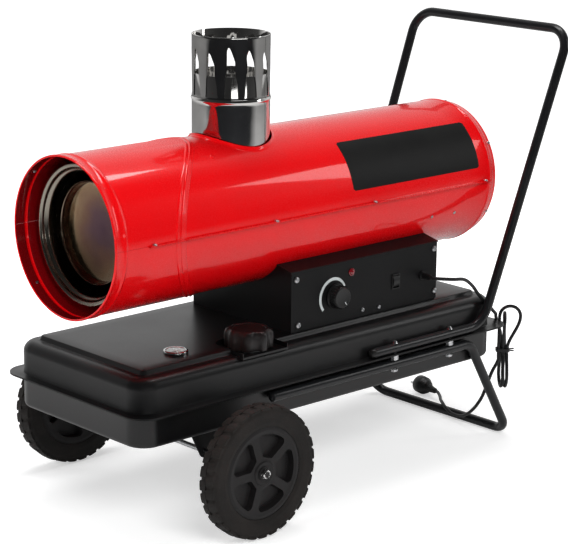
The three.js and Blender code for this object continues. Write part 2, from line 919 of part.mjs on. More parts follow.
// One blade: a ladder of sections that twist from root to tip.
function fanBlade(index) {
  const stations = 3;
  const rootAngle = 52;
  const tipAngle = 28;
  const rings = Array.from({ length: stations + 1 }, (_, k) => {
    const share = k / stations;
    const r = fan.hub - 3 + (fan.radius - fan.hub + 3) * share;
    const pitch = THREE.MathUtils.degToRad(rootAngle + (tipAngle - rootAngle) * share);
    const chord = 34 + 30 * Math.sin(share * Math.PI * 0.62);
    const sweep = 10 * share * share;
    const camber = 3;
    const section = [
      [-0.5, 0],
      [-0.2, camber],
      [0.15, camber],
      [0.5, 0],
      [0.5, -fan.blade],
      [0.15, camber - fan.blade],
      [-0.2, camber - fan.blade],
      [-0.5, -fan.blade],
    ];
    return section.map(([along, off]) => {
      const a = along * chord + sweep;
      const across = a * Math.cos(pitch) - off * Math.sin(pitch);
      const axial = a * Math.sin(pitch) + off * Math.cos(pitch);
      const limit = (fan.depth - 4) / 2;
      return [Math.max(-limit, Math.min(limit, axial)), across, r];
    });
  });
  return skin(rings).rotate([(index * 360) / fan.blades, 0, 0]);
}

function fanWheel() {
  const { front, hub, hubDepth, radius } = fan;
  const bore = motor.shaft + GAP;
  const hubBody = revolve(
    [
      [bore, front],
      [hub - 4, front],
      [hub, front + 4],
      [hub, front + hubDepth - 6],
      [hub - 6, front + hubDepth],
      [0, front + hubDepth],
      [0, front + hubDepth - 3],
      [bore, front + hubDepth - 3],
      [bore, front],
    ],
    12,
    "x",
  );
  const bound = rod(radius, front, fan.depth, "x", 32);
  const hubRoom = rod(hub - 4, front - 5, hubDepth, "x", 12);
  const blades = Array.from({ length: fan.blades }, (_, i) =>
    move(fanBlade(i), front + fan.depth / 2, 0, 0).intersect(bound).subtract(hubRoom),
  );
  return join(hubBody, ...blades);
}
add("fan_impeller", move(fanWheel(), 0, 0, drum.axisZ), castAlloy);

// The inlet guard: wire rings on four crossed spokes.
function inletGuard() {
  const outer = drum.rimRadius - SHEET - 1;
  const wireRing = (radius) => {
    const section = 4;
    const profile = Array.from({ length: section + 1 }, (_, i) => {
      const angle = (i * 2 * Math.PI) / section;
      return [radius + guard.wire * Math.cos(angle), guard.x + guard.wire * Math.sin(angle)];
    });
    return revolve(profile, 16, "x");
  };
  const innermost = guard.clampRadius + 6;
  const rings = Array.from({ length: guard.rings }, (_, i) =>
    wireRing(innermost + ((outer - guard.wire - innermost) * i) / (guard.rings - 1)),
  );
  const spokes = Array.from({ length: guard.spokes }, (_, i) =>
    move(rod(guard.wire * 1.2, -outer + 1, 2 * outer - 2, "z", 4), guard.x - guard.wire, 0, 0)
      .rotate([(i * 180) / guard.spokes + 22.5, 0, 0]),
  );
  const middle = rod(guard.clampRadius, guard.x - 2, 3, "x", 16);
  return join(middle, ...rings, ...spokes);
}
add("inlet_guard", move(inletGuard(), 0, 0, drum.axisZ), tubeBlack);

// ---- fuel tank: two pressed shells with a wide flange

const boltHoles = bolt.places.flatMap((x) =>
  [-1, 1].map((side) => move(rod(bolt.hole, 190, 90, "z", 8), x, side * handle.half, 0)),
);

const rectangleRing = (inset, z) => {
  const corner = Math.max(tank.corner - inset, 4);
  return roundedRectangle(tank.front + inset, tank.rear - inset, tank.half - inset, corner)
    .map(([x, y]) => [x, y, z]);
};
const flangeRing = (z) =>
  roundedRectangle(tank.flangeFront, tank.flangeRear, tank.flangeHalf, tank.flangeCorner)
    .map(([x, y]) => [x, y, z]);
const quarterSteps = 3;

// Insets and heights of the round between a wall and a face beside it.
function roundOver(radius, wallZ, side) {
  return Array.from({ length: quarterSteps + 1 }, (_, i) => {
    const angle = (i * Math.PI) / 2 / quarterSteps;
    return [radius * (1 - Math.cos(angle)), wallZ + side * radius * Math.sin(angle)];
  });
}

function tankUpperShell() {
  const shoulder = [
    ...roundOver(tank.shoulderRound, tank.wallTop, 1),
    [tank.ledge, tank.shoulder],
    [tank.ledge + 3, tank.top - 2.5],
    [tank.panelInset, tank.top],
  ];
  const flangeLow = tank.seamZ + GAP / 2;
  const inside = shoulder.map(([inset, z]) => rectangleRing(inset + SHEET, z - SHEET)).reverse();
  const outside = shoulder.map(([inset, z]) => rectangleRing(inset, z));
  const shell = skin([
    ...inside,
    rectangleRing(SHEET, flangeLow),
    flangeRing(flangeLow),
    flangeRing(flangeLow + SHEET),
    rectangleRing(0, flangeLow + SHEET),
    ...outside,
  ]);
  // The filler sits on a flat seat that is let into the edge of the raised top.
  const { front, rear, back, corner, floor } = fillerSeat;
  const seatOutline = (grow) => {
    const seat = new THREE.Shape();
    const r = corner - grow;
    seat.moveTo(front - grow, -tank.half + (grow ? GAP : -20));
    seat.lineTo(rear + grow, -tank.half + (grow ? GAP : -20));
    seat.lineTo(rear + grow, -back - r + grow);
    seat.absarc(rear + grow - r, -back - r + grow, r, 0, Math.PI / 2);
    seat.lineTo(front - grow + r, -back + grow);
    seat.absarc(front - grow + r, -back - r + grow, r, Math.PI / 2, Math.PI);
    return seat;
  };
  const seatBlock = raise(seatOutline(SHEET), tank.shoulder - floor, tank.top - SHEET / 2, 5);
  const seatSpace = raise(seatOutline(0), tank.shoulder, tank.top + 20, 5);
  const fillerHole = move(rod(filler.neck + 1, filler.neckBottom, 60, "z", 20), filler.x, filler.y, 0);
  const gaugeHole = move(rod(gauge.window, tank.top - 17, 40), gauge.x, gauge.y, 0);
  return cut(join(shell, seatBlock), seatSpace, fillerHole, gaugeHole, supplyHole, ...boltHoles);
}
add("tank_upper_shell", tankUpperShell(), blackEnamel);

function tankLowerShell() {
  const round = roundOver(tank.bottomRound, tank.bottom + tank.bottomRound, -1);
  const flangeHigh = tank.seamZ - GAP / 2;
  const outside = round.map(([inset, z]) => rectangleRing(inset, z)).reverse();
  const inside = round.map(([inset, z]) => rectangleRing(inset + SHEET, z + SHEET));
  const shell = skin([
    ...outside,
    rectangleRing(0, flangeHigh - SHEET),
    flangeRing(flangeHigh - SHEET),
    flangeRing(flangeHigh),
    rectangleRing(SHEET, flangeHigh),
    ...inside,
  ]);
  return cut(shell, move(rod(drain.thread + 1, 150, 60, "z", 12), drain.x, drain.y, 0), ...boltHoles);
}

add("tank_lower_shell", tankLowerShell(), blackEnamel);

// ---- filler, strainer, cap, level gauge and drain plug

function fillerNeck() {
  const { neck, neckTop, neckBottom, flange, flangeThick } = filler;
  const seat = tank.shoulder + GAP;
  const bore = neck - 2;
  return revolve(
    [
      [bore - 1.5, neckBottom],
      [neck, neckBottom],
      [neck, seat],
      [flange, seat],
      [flange, seat + flangeThick],
      [neck, seat + flangeThick],
      [neck, neckTop],
      [bore + 0.5, neckTop],
      [bore + 0.5, neckTop - 5],
      [bore - 1.5, neckTop - 5],
      [bore - 1.5, neckBottom],
    ],
    16,
  );
}
add("filler_neck", move(fillerNeck(), filler.x, filler.y, 0), castAlloy);

// A sieve cup that hangs by its rim in the filler neck.
function fillerStrainer() {
  const rim = filler.neck - 2.4;
  const wall = rim - 2;
  const ledge = filler.neckTop - 5 + GAP;
  const foot = ledge - filler.strainer;
  const cup = revolve(
    [
      [0, foot],
      [wall, foot],
      [wall, ledge],
      [rim, ledge],
      [rim, ledge + 1.2],
      [wall - 1.2, ledge + 1.2],
      [wall - 1.2, foot + 1.2],
      [0, foot + 1.2],
    ],
    12,
  );
  const slots = Array.from({ length: 3 }, (_, i) =>
    block(-wall - 5, wall + 5, -3, 3, foot + 12, ledge - 20).rotate([0, 0, i * 60]),
  );
  return cut(cup, ...slots);
}
add("filler_strainer", move(fillerStrainer(), filler.x, filler.y, 0), brass);

function fillerCap() {
  const { radius, lobes, lobe, bottom, top, skirt, crown } = cap;
  const ceiling = filler.neckTop + GAP;
  const steps = lobes * 4;
  const outline = Array.from({ length: steps }, (_, i) => {
    const angle = (i * 2 * Math.PI) / steps;
    const r = radius - lobe + lobe * Math.cos(angle * lobes);
    return [r * Math.cos(angle), r * Math.sin(angle)];
  });
  const trim = revolve(
    [
      [0, bottom],
      [radius + 1, bottom],
      [radius + 1, top - crown],
      [radius - 2, top - 3],
      [radius - 7, top],
      [0, top],
    ],
    16,
  );
  const hollow = rod(skirt, bottom - 1, ceiling - bottom + 1, "z", 20);
  return cut(raise(shapeFrom(outline), bottom, top).intersect(trim), hollow);
}
add("fuel_filler_cap", move(fillerCap(), filler.x, filler.y, 0), blackPlastic);

// The gauge's housing stands in a hole of the tank, with the float's guide rod below it.
function gaugeBody() {
  const { bezel, window, rim, rod: rodRadius, rodBottom } = gauge;
  const seat = tank.top + GAP;
  const sleeve = window - GAP;
  return revolve(
    [
      [0, rodBottom],
      [rodRadius, rodBottom],
      [rodRadius, seat - 14],
      [sleeve, seat - 14],
      [sleeve, seat],
      [bezel, seat],
      [bezel, seat + rim - 2],
      [bezel - 1.5, seat + rim],
      [window, seat + rim],
      [window, seat + 1.5],
      [0, seat + 1.5],
    ],
    16,
  );
}
add("fuel_gauge_body", move(gaugeBody(), gauge.x, gauge.y, 0), castAlloy);

const dialTop = tank.top + 3 * GAP + 2.1;
const gaugeDial = revolve(
  [
    [1.6, tank.top + 2 * GAP + 1.5],
    [gauge.window - GAP, tank.top + 2 * GAP + 1.5],
    [gauge.window - GAP, dialTop],
    [1.6, dialTop],
    [1.6, tank.top + 2 * GAP + 1.5],
  ],
  16,
);
add("fuel_gauge_dial", move(gaugeDial, gauge.x, gauge.y, 0), whitePlastic);

function gaugePointer() {
  const z = dialTop + GAP;
  const hub = revolve(
    [
      [0, tank.top + 2 * GAP + 1.5],
      [1.3, tank.top + 2 * GAP + 1.5],
      [1.3, z],
      [3, z],
      [3, z + 1.2],
      [0, z + 1.2],
    ],
    8,
  );
  const hand = shapeFrom([
    [0, -1.4],
    [gauge.pointer, -0.4],
    [gauge.pointer, 0.4],
    [0, 1.4],
    [-5, 1],
    [-5, -1],
  ]);
  return join(hub, raise(hand, z, z + 0.8));
}
add("fuel_gauge_pointer", move(gaugePointer(), gauge.x, gauge.y, 0), redLens);

const gaugeFloat = revolve(
  [
    [gauge.rod + GAP, gauge.floatBottom],
    [gauge.floatRadius - 2, gauge.floatBottom],
    [gauge.floatRadius, gauge.floatBottom + 2],
    [gauge.floatRadius, gauge.floatBottom + gauge.floatHeight - 2],
    [gauge.floatRadius - 2, gauge.floatBottom + gauge.floatHeight],
    [gauge.rod + GAP, gauge.floatBottom + gauge.floatHeight],
    [gauge.rod + GAP, gauge.floatBottom],
  ],
  14,
);
add("fuel_gauge_float", move(gaugeFloat, gauge.x, gauge.y, 0), whitePlastic);

const drainSeat = tank.bottom - GAP;
const drainPlug = join(
  rod(drain.head, drainSeat - drain.headHeight, drain.headHeight - 2, "z", 6),
  rod(drain.head + 1.5, drainSeat - 2, 2, "z", 12),
  rod(drain.thread, drainSeat - 1, 9, "z", 10),
);
add("tank_drain_plug", move(drainPlug, drain.x, drain.y, 0), zinc);

// ---- axle and wheels

const axleEnd = wheel.track + wheel.width / 2 + 3;
const hubInner = wheel.track - wheel.width / 2;
function axleRod() {
  const collar = hubInner - GAP;
  return revolve(
    [
      [0, -axleEnd],
      [axle.radius, -axleEnd],
      [axle.radius, -collar],
      [axle.radius + 3.5, -collar],
      [axle.radius + 3.5, -collar + 4],
      [axle.radius, -collar + 4],
      [axle.radius, collar - 4],
      [axle.radius + 3.5, collar - 4],
      [axle.radius + 3.5, collar],
      [axle.radius, collar],
      [axle.radius, axleEnd],
      [0, axleEnd],
    ],
    10,
    "y",
  );
}
add("axle", move(axleRod(), wheel.x, 0, wheel.radius), zinc);

// A folded plate: its top is held to the tank's bottom, and its leg carries the axle.
function axleHanger(side) {
  const { y, plate, topLength, topWidth, eye } = axleBracket;
  const top = tank.bottom - GAP;
  const leg = new THREE.Shape();
  leg.moveTo(-topLength / 2, top);
  leg.lineTo(-eye, wheel.radius - 4);
  leg.absarc(0, wheel.radius, eye, Math.PI * 1.1, Math.PI * 1.9);
  leg.lineTo(topLength / 2, top);
  const legPlate = drawnY(leg, y - plate, y, 8);
  const flange = block(-topLength / 2, topLength / 2, y - topWidth, y, top - plate, top);
  const bore = move(rod(axle.radius + GAP, y - plate - 5, plate + 10, "y", 10), 0, 0, wheel.radius);
  const bracket = cut(join(legPlate, flange), bore);
  return side > 0 ? bracket : bracket.rotate([0, 0, 180]);
}
for (const [name, side] of [["near", -1], ["far", 1]]) {
  add("axle_bracket_" + name, move(axleHanger(side), wheel.x, 0, 0), blackEnamel);
}

// A pocket between two spokes, as an outline round the wheel's middle.
function pocketOutline(index) {
  const { pocketInner, pocketOuter, pockets, web } = wheel;
  const middle = ((index + 0.5) * 2 * Math.PI) / pockets;
  const halfTurn = Math.PI / pockets;
  const edge = (radius, side) => middle + side * (halfTurn - Math.asin(web / radius));
  const at = (radius, angle) => [radius * Math.cos(angle), radius * Math.sin(angle)];
  const arc = (radius, from, to, steps) =>
    Array.from({ length: steps + 1 }, (_, i) => at(radius, from + ((to - from) * i) / steps));
  const round = 6;
  return [
    ...arc(pocketInner, edge(pocketInner, -1), edge(pocketInner, 1), 1),
    at(pocketOuter - round, edge(pocketOuter - round, 1)),
    ...arc(pocketOuter, edge(pocketOuter, 1) - 0.08, edge(pocketOuter, -1) + 0.08, 3),
    at(pocketOuter - round, edge(pocketOuter - round, -1)),
  ];
}

function wheelHub() {
  const { rim, boss, width, pockets, pocketDepth, pocketInner, pocketOuter } = wheel;
  const half = width / 2;
  const face = half - 4;
  const bore = axle.radius + GAP;
  const profile = [
    [bore, -half],
    [boss, -half],
    [boss + 2, -face],
    [rim, -face - 1],
    [rim, face + 1],
    [boss + 2, face],
    [boss, half],
    [bore, half],
    [bore, -half],
  ];
  const hub = revolve(profile, WHEEL_SIDES, "y");
  const cuts = Array.from({ length: pockets }, (_, i) => shapeFrom(pocketOutline(i))).flatMap((shape) => [
    drawnY(shape, face - pocketDepth, face + 5),
    drawnY(shape, -face - 5, -face + pocketDepth),
  ]);
  return cut(hub, ...cuts);
}

function tyreBody() {
  const { radius, width, rim, treadBlocks, treadDepth } = wheel;
  const half = width / 2;
  const base = radius - treadDepth;
  const inner = rim + GAP;
  const section = [
    [inner, -half + 3],
    [base - 16, -half],
    [base - 3, -half + 3],
    [base, -half + 8],
    [base, half - 8],
    [base - 3, half - 3],
    [base - 16, half],
    [inner, half - 3],
    [inner, -half + 3],
  ];
  const carcass = revolve(section, WHEEL_SIDES, "y");
  const step = 360 / treadBlocks;
  const crown = 0.33; // so that a block's corners reach the full radius
  const blocks = Array.from({ length: treadBlocks }, (_, i) => [
    block(-9, 9, -half + 1.5, -1.2, base - 6, radius - crown).rotate([0, i * step, 0]),
    block(-9, 9, 1.2, half - 1.5, base - 6, radius - crown).rotate([0, (i + 0.5) * step, 0]),
  ]).flat();
  return join(carcass, ...blocks);
}

function wheelCap() {
  const half = wheel.width / 2;
  const start = half + GAP;
  const tip = half + axle.capLength;
  return revolve(
    [
      [axle.radius + 0.1, start],
      [axle.capRadius, start],
      [axle.capRadius, start + 2.5],
      [axle.capRadius - 2.5, tip - 1],
      [3, tip],
      [0, tip],
      [0, half + 3 + GAP],
      [axle.radius + 0.1, half + 3 + GAP],
      [axle.radius + 0.1, start],
    ],
    10,
    "y",
  );
}
const hubBody = wheelHub();
const tyre = tyreBody();
const capBody = wheelCap();
for (const [name, side] of [["near", -1], ["far", 1]]) {
  const place = (body) =>
    move(side > 0 ? body : body.rotate([0, 0, 180]), wheel.x, side * wheel.track, wheel.radius);
  add("wheel_hub_" + name, place(hubBody), hubPlastic);
  add("tyre_" + name, place(tyre), rubber);
  add("wheel_cap_" + name, place(capBody), zinc);
}

// ---- handle and stand

const TUBE_SIDES = 9;
const tubeBore = TUBE - SHEET;
const flangeTop = tank.seamZ + GAP / 2 + SHEET;
const flangeUnder = tank.seamZ - GAP / 2 - SHEET;
const handleZ = flangeTop + GAP + TUBE;

// The same run on both sides of the middle plane, as one list of corners.
const bothSides = (corners) => [
  ...corners,
  ...[...corners].reverse().map((corner) => V(corner.x, -corner.y, corner.z)),
];

function handleTube() {
  const topX = handle.kneeX + handle.slope * (handle.top - handleZ);
  const corners = bothSides([
    V(handle.front, -handle.half, handleZ),
    V(handle.kneeX, -handle.half, handleZ),
    V(topX, -handle.topHalf, handle.top),
  ]);
  const radii = [handle.kneeRadius, handle.topRadius, handle.topRadius, handle.kneeRadius];
  const bores = [-1, 1].map((side) =>
    move(rod(tubeBore, handle.front - 5, 25, "x", 10), 0, side * handle.half, handleZ),
  );
  return cut(tube(bentRun(corners, radii), TUBE, TUBE_SIDES), ...bores, ...boltHoles);
}
add("handle_tube", handleTube(), tubeBlack);

function handlePlug(side) {
  const tip = -handle.plugLength;
  const plugBody = revolve(
    [
      [0, tip],
      [TUBE * 0.5, tip + 1],
      [TUBE * 0.85, tip + 4],
      [TUBE, tip + 9],
      [TUBE, -GAP],
      [tubeBore - 1.2, -GAP],
      [tubeBore - 1.2, 16],
      [0, 16],
    ],
    10,
    "x",
  );
  return move(plugBody, handle.front, side * handle.half, handleZ);
}
add("handle_plug_near", handlePlug(-1), rubber);
add("handle_plug_far", handlePlug(1), rubber);

function standTube() {
  const corners = bothSides([
    V(stand.front, -stand.half, stand.z),
    V(stand.kneeX, -stand.half, stand.z),
    V(stand.footX, -stand.footHalf, TUBE),
  ]);
  const radii = [stand.kneeRadius, stand.footRadius, stand.footRadius, stand.kneeRadius];
  const noses = [-1, 1].map((side) => {
    const nose = revolve(
      [
        [0, -4],
        [TUBE * 0.55, -3],
        [TUBE * 0.9, 0],
        [TUBE * 0.9, 6],
        [0, 6],
      ],
      TUBE_SIDES,
      "x",
    );
    return move(nose, stand.front, side * stand.half, stand.z);
  });
  return cut(join(tube(bentRun(corners, radii), TUBE, TUBE_SIDES), ...noses), ...boltHoles);
}
add("stand_tube", standTube(), tubeBlack);

// One bolt with the distance collar between the tank's flange and the stand, and its dome nut.
function frameBolt() {
  const { shank, head, headHeight, boss, nut } = bolt;
  const headSeat = handleZ + TUBE + GAP;
  const nutSeat = stand.z - TUBE - GAP;
  return revolve(
    [
      [0, nutSeat - 7],
      [nut, nutSeat - 4],
      [nut, nutSeat],
      [shank, nutSeat],
      [shank, stand.z + TUBE + GAP],
      [boss, stand.z + TUBE + GAP],
      [boss, flangeUnder - GAP],
      [shank, flangeUnder - GAP],
      [shank, headSeat],
      [head, headSeat],
      [head * 0.5, headSeat + headHeight],
      [0, headSeat + headHeight],
    ],
    8,
  );
}
const boltBody = frameBolt();
for (const [place, x] of bolt.places.entries()) {
  for (const [name, side] of [["near", -1], ["far", 1]]) {
    add("frame_bolt_" + name + "_" + (place + 1), move(boltBody, x, side * handle.half, 0), zinc);
  }
}

// ---- support box with the controls

const panelBack = -box.near - GAP;
const panelFace = panelBack - panel.thick;

function supportBox() {
  const { front, rear, near, far, top, lipZ, lipOver } = box;
  const floor = tank.top + GAP;
  const lipY = 112;
  const lipSink = 1.2; // the lips' undersides are let into the box's top edge
  const outline = (inset, low) => [
    [-near + inset, low],
    [far - inset, low],
    [far - inset, top - inset],
    [lipY, lipZ - inset],
    [-lipY, lipZ - inset],
    [-near + inset, top - inset],
  ];
  const outer = drawnX(shapeFrom(outline(0, floor)), front, rear);
  const inner = drawnX(shapeFrom(outline(SHEET, floor + SHEET)), front + SHEET, rear - SHEET);
  const lip = (y) =>
    shapeFrom([
      [-y - 2, top - lipSink],
      [-lipY, lipZ - lipSink],
      [-lipY, lipZ + SHEET],
      [-y - 2, top + SHEET],
    ]);
  const nearLip = drawnX(lip(near), front - lipOver, rear + lipOver);
  const farLip = nearLip.rotate([0, 0, 180]).translate([front + rear, far - near, 0]);
  const window = block(front + 12, rear - 12, -near - 5, -near + 5, floor + 14, top - 14);
  const cradle = move(rod(drum.radius + GAP, front - 20, rear - front + 40, "x", DRUM_SIDES), 0, 0, drum.axisZ);
  const vents = Array.from({ length: 3 }, (_, i) =>
    block(front + 60 + i * 24, front + 66 + i * 24, far - 5, far + 5, floor + 30, top - 50),
  );
  return cut(join(outer.subtract(inner), nearLip, farLip), window, cradle, supplyHole, ...vents);
}
add("support_box", supportBox(), blackEnamel);

function controlPanel() {
  const overhang = 2;
  const faceTop = box.top - 1.6;
  const face = block(box.front - overhang, box.rear + overhang, panelFace, panelBack, panel.bottom, faceTop);
  const hole = (x, z, radius) => move(rod(radius, panelFace - 5, panel.thick + 10, "y", 16), x, 0, z);
  const slot = block(
    rocker.x - rocker.width / 2 + 1,
    rocker.x + rocker.width / 2 - 1,
    panelFace - 5,
    panelBack + 5,
    rocker.z - rocker.height / 2 + 1,
    rocker.z + rocker.height / 2 - 1,
  );
  return cut(
    face,
    hole(thermostat.x, thermostat.z, thermostat.shaft + 2),
    hole(lamp.x, lamp.z, lamp.body + GAP),
    hole(gland.x, gland.z, gland.boot - 1 + GAP),
    slot,
  );
}
add("control_panel", controlPanel(), blackEnamel);

function thermostatBody() {
  const { x, z, body, bodyDepth, shaft } = thermostat;
  const front = panelBack + GAP;
  const bushing = rod(shaft + 1.7, panelFace - 1.2, front - panelFace + 3, "y", 16);
  const bore = rod(shaft + GAP, panelFace - 5, 20, "y", 12);
  const housing = block(-body / 2, body / 2, front, front + bodyDepth, -body / 2, body / 2);
  return move(cut(join(housing, bushing), bore), x, 0, z);
}
add("thermostat_body", thermostatBody(), blackPlastic);

function thermostatKnob() {
  const { x, z, knob, knobBase, knobLength, ribs, rib, shaft } = thermostat;
  const back = panelFace - 1.5;
  const grip = revolve(
    [
      [0, back + 14],
      [shaft, back + 14],
      [shaft, back],
      [knobBase, back],
      [knobBase, back - 3],
      [knob, back - 5],
      [knob - 1, back - knobLength + 2],
      [knob - 3, back - knobLength],
      [0, back - knobLength],
    ],
    20,
    "y",
  );
  const ridge = block(-1, 1, back - knobLength + 2, back - 4, knob - 3, knob + rib);
  const ridges = Array.from({ length: ribs }, (_, i) => ridge.rotate([0, (i * 360) / ribs, 0]));
  return move(join(grip, ...ridges), x, 0, z);
}
add("thermostat_knob", thermostatKnob(), blackPlastic);

function indicatorLamp() {
  const { x, z, lens, rim, dome, body, bodyDepth } = lamp;
  const seat = panelFace - GAP;
  const lampBody = revolve(
    [
      [0, panelBack + bodyDepth],
      [body, panelBack + bodyDepth],
      [body, seat],
      [rim, seat],
      [rim, seat - 1.5],
      [lens, seat - 2],
      [lens * 0.8, seat - dome + 1],
      [lens * 0.4, seat - dome],
      [0, seat - dome],
    ],
    14,
    "y",
  );
  return move(lampBody, x, 0, z);
}
add("indicator_lamp", indicatorLamp(), redLens);

// A box whose middle is at the rocker switch, given by its half sizes and two places along Y.
const atRocker = (halfX, halfZ, y0, y1) =>
  block(rocker.x - halfX, rocker.x + halfX, y0, y1, rocker.z - halfZ, rocker.z + halfZ);

function rockerFrame() {
  const { width, height, frame, frameDepth, body } = rocker;
  const seat = panelFace - GAP;
  const [halfX, halfZ] = [width / 2, height / 2];
  const flange = atRocker(halfX, halfZ, seat - frameDepth, seat);
  const shell = atRocker(halfX - 1 - GAP, halfZ - 1 - GAP, seat - 0.5, seat + body);
  const well = atRocker(halfX - frame, halfZ - frame, seat - frameDepth - 5, seat + 9);
  return cut(join(flange, shell), well);
}
add("rocker_frame", rockerFrame(), blackPlastic);

const rockerPivotY = panelFace - GAP + 1;
function rockerButton() {
  const { width, height, frame, tilt } = rocker;
  const halfX = width / 2 - frame - GAP;
  const halfZ = height / 2 - frame - 3 * GAP;
  const side = shapeFrom([
    [1, -halfZ],
    [4, -halfZ + 0.5],
    [2.2, 0],
    [4, halfZ - 0.5],
    [1, halfZ],
    [-1.5, halfZ - 1],
    [-5, 5],
    [-5, -5],
    [-1.5, -halfZ + 1],
  ]);
  return drawnX(side, -halfX, halfX).rotate([tilt, 0, 0]);
}
const buttonRaw = rockerButton();
add("rocker_button", move(buttonRaw, rocker.x, rockerPivotY, rocker.z), blackPlastic);

const glandTip = panelFace - GAP - gland.length;
function cableGland() {
  const { x, z, flange, flangeThick, boot, bootEnd } = gland;
  const seat = panelFace - GAP;
  const nutSeat = panelBack + GAP;
  const core = boot - 1;
  const body = revolve(
    [
      [0, glandTip],
      [bootEnd, glandTip],
      [boot, seat - flangeThick],
      [flange - 1, seat - flangeThick],
      [flange, seat - flangeThick + 1],
      [flange, seat],
      [core, seat],
      [core, nutSeat + 8],
      [0, nutSeat + 8],
    ],
    14,
    "y",
  );
  const nut = rod(gland.nut, nutSeat, 5, "y", 6);
  return move(join(body, nut), x, 0, z);
}
add("cable_gland", cableGland(), rubber);

const boxFloor = tank.top + GAP + SHEET + GAP;
function ignitionTransformer() {
  const { x, y, length, width, height, foot } = transformer;
  const coil = block(-length / 2, length / 2, -width / 2, width / 2, boxFloor, boxFloor + height);
  const feet = block(-foot / 2, foot / 2, -width / 2 + 8, width / 2 - 8, boxFloor, boxFloor + 2);
  const terminal = rod(6, length / 2 - 1, 16, "x", 8);
  const terminals = [-14, 14].map((side) => move(terminal, 0, side, boxFloor + height - 16));
  const fins = Array.from({ length: 2 }, (_, i) =>
    block(-length / 2 + 10 + i * 50, -length / 2 + 14 + i * 50, -width / 2 - 2, width / 2 + 2, boxFloor + 4,
      boxFloor + height - 6),
  );
  return move(join(coil, feet, ...terminals, ...fins), x, y, 0);
}
add("ignition_transformer", ignitionTransformer(), blackEnamel);

function controlBoard() {
  const { x, y, length, width, standOff } = board;
  const base = boxFloor + standOff;
  const card = block(-length / 2, length / 2, -width / 2, width / 2, base, base + 1.6);
  const post = rod(3, boxFloor, standOff + 1, "z", 5);
  const posts = [-1, 1].flatMap((a) =>
    [-1, 1].map((b) => move(post, a * (length / 2 - 6), b * (width / 2 - 6), 0)),
  );
  const parts = [
    block(-40, -18, -30, -10, base + 1, base + 20),
    block(-10, 12, -32, -14, base + 1, base + 16),
    block(24, 50, -34, 30, base + 1, base + 12),
    move(rod(8, base + 1, 22, "z", 8), -30, 18, 0),
    move(rod(6, base + 1, 16, "z", 8), -8, 16, 0),
  ];
  return move(join(card, ...posts, ...parts), x, y, 0);
}
add("control_board", controlBoard(), boardGreen);

const supplyTop = drum.axisZ - pump.radius - 8 + 6;
const supplyLine = revolve(
  [
    [supply.radius - 1, supply.bottom],
    [supply.radius, supply.bottom],
    [supply.radius, supplyTop],
    [supply.radius - 1, supplyTop],
    [supply.radius - 1, supply.bottom],
  ],
  8,
);
add("fuel_supply_line", move(supplyLine, supply.x, supply.y, 0), brass);

// ---- mains cord

const hankTurn = THREE.MathUtils.degToRad(hank.heading);
// From the hank's own directions (along the fold, to the side, up) to the model's.
const fromHank = (along, aside, up) =>
  V(
    hank.x + along * Math.cos(hankTurn) + aside * Math.sin(hankTurn),
    hank.y + along * Math.sin(hankTurn) - aside * Math.cos(hankTurn),
    hank.z + up,
  );
const ease = (share) => share * share * (3 - 2 * share);

// One unbroken cord: two folds below the tie, one above it and one loose loop.
function hankPath() {
  const { fold, waist, pitch, ease: easeLength, run, looseRun, looseMiddle, loose, stub } = hank;
  const path = [];
  const width = (up) => waist + (fold - waist) * ease(Math.min(Math.abs(up) / easeLength, 1));
  const strand = (row, aside, from, to, steps) => {
    for (let i = 0; i <= steps; i++) {
      const up = from + ((to - from) * i) / steps;
      path.push(fromHank(row * width(up), aside, up));
    }
  };
  const bend = (row, aside, side) => {
    const steps = 6;
    for (let i = 1; i < steps; i++) {
      const angle = (Math.PI * i) / steps;
      const shift = (pitch * i) / steps;
      path.push(fromHank(row * fold * Math.cos(angle), aside + shift, side * (run + fold * Math.sin(angle))));
    }
  };
  const first = -2 * pitch;
  path.push(fromHank(waist, first, stub));
  path.push(fromHank(waist, first, stub - 7));
  strand(1, first, 0, -run, 5);
  bend(1, first, -1);
  strand(-1, first + pitch, -run, run, 9);
  bend(-1, first + pitch, 1);
  strand(1, first + 2 * pitch, run, -run, 9);
  bend(1, first + 2 * pitch, -1);
  strand(-1, first + 3 * pitch, -run, 0, 6);
  const right = looseMiddle + loose;
  const left = looseMiddle - loose;
  const lastAside = first + 3 * pitch;
  const rise = 7;
  for (let i = 1; i <= rise; i++) {
    const share = i / rise;
    path.push(fromHank(-waist, lastAside + (right - lastAside) * ease(share), looseRun * share));
  }
  const steps = 7;
  for (let i = 1; i <= steps; i++) {
    const angle = (Math.PI * i) / steps;
    path.push(fromHank(-waist, looseMiddle + loose * Math.cos(angle), looseRun + loose * Math.sin(angle)));
  }
  for (const up of [looseRun * 0.66, looseRun * 0.33, 7, -stub + 7, -stub]) {
    path.push(fromHank(-waist, left, up));
  }
  return path;
}
const hankPoints = hankPath();

// Least distance between the skins of two far-apart places of one cord.
function leastGap(points) {
  const fine = [];
  for (let i = 0; i + 1 < points.length; i++) {
    for (let k = 0; k < 4; k++) fine.push(points[i].clone().lerp(points[i + 1], k / 4));
  }
  let least = Infinity;
  for (let i = 0; i < fine.length; i++) {
    let along = 0;
    for (let j = i + 1; j < fine.length; j++) {
      along += fine[j].distanceTo(fine[j - 1]);
      if (along > 8 * cord.radius) least = Math.min(least, fine[i].distanceTo(fine[j]));
    }
  }
  return least - 2 * cord.radius;
}
console.log("least gap of the hank to itself: " + leastGap(hankPoints).toFixed(2) + " mm");
add("cord_hank", tube(hankPoints, cord.radius, cord.hankSides), cordBlack);

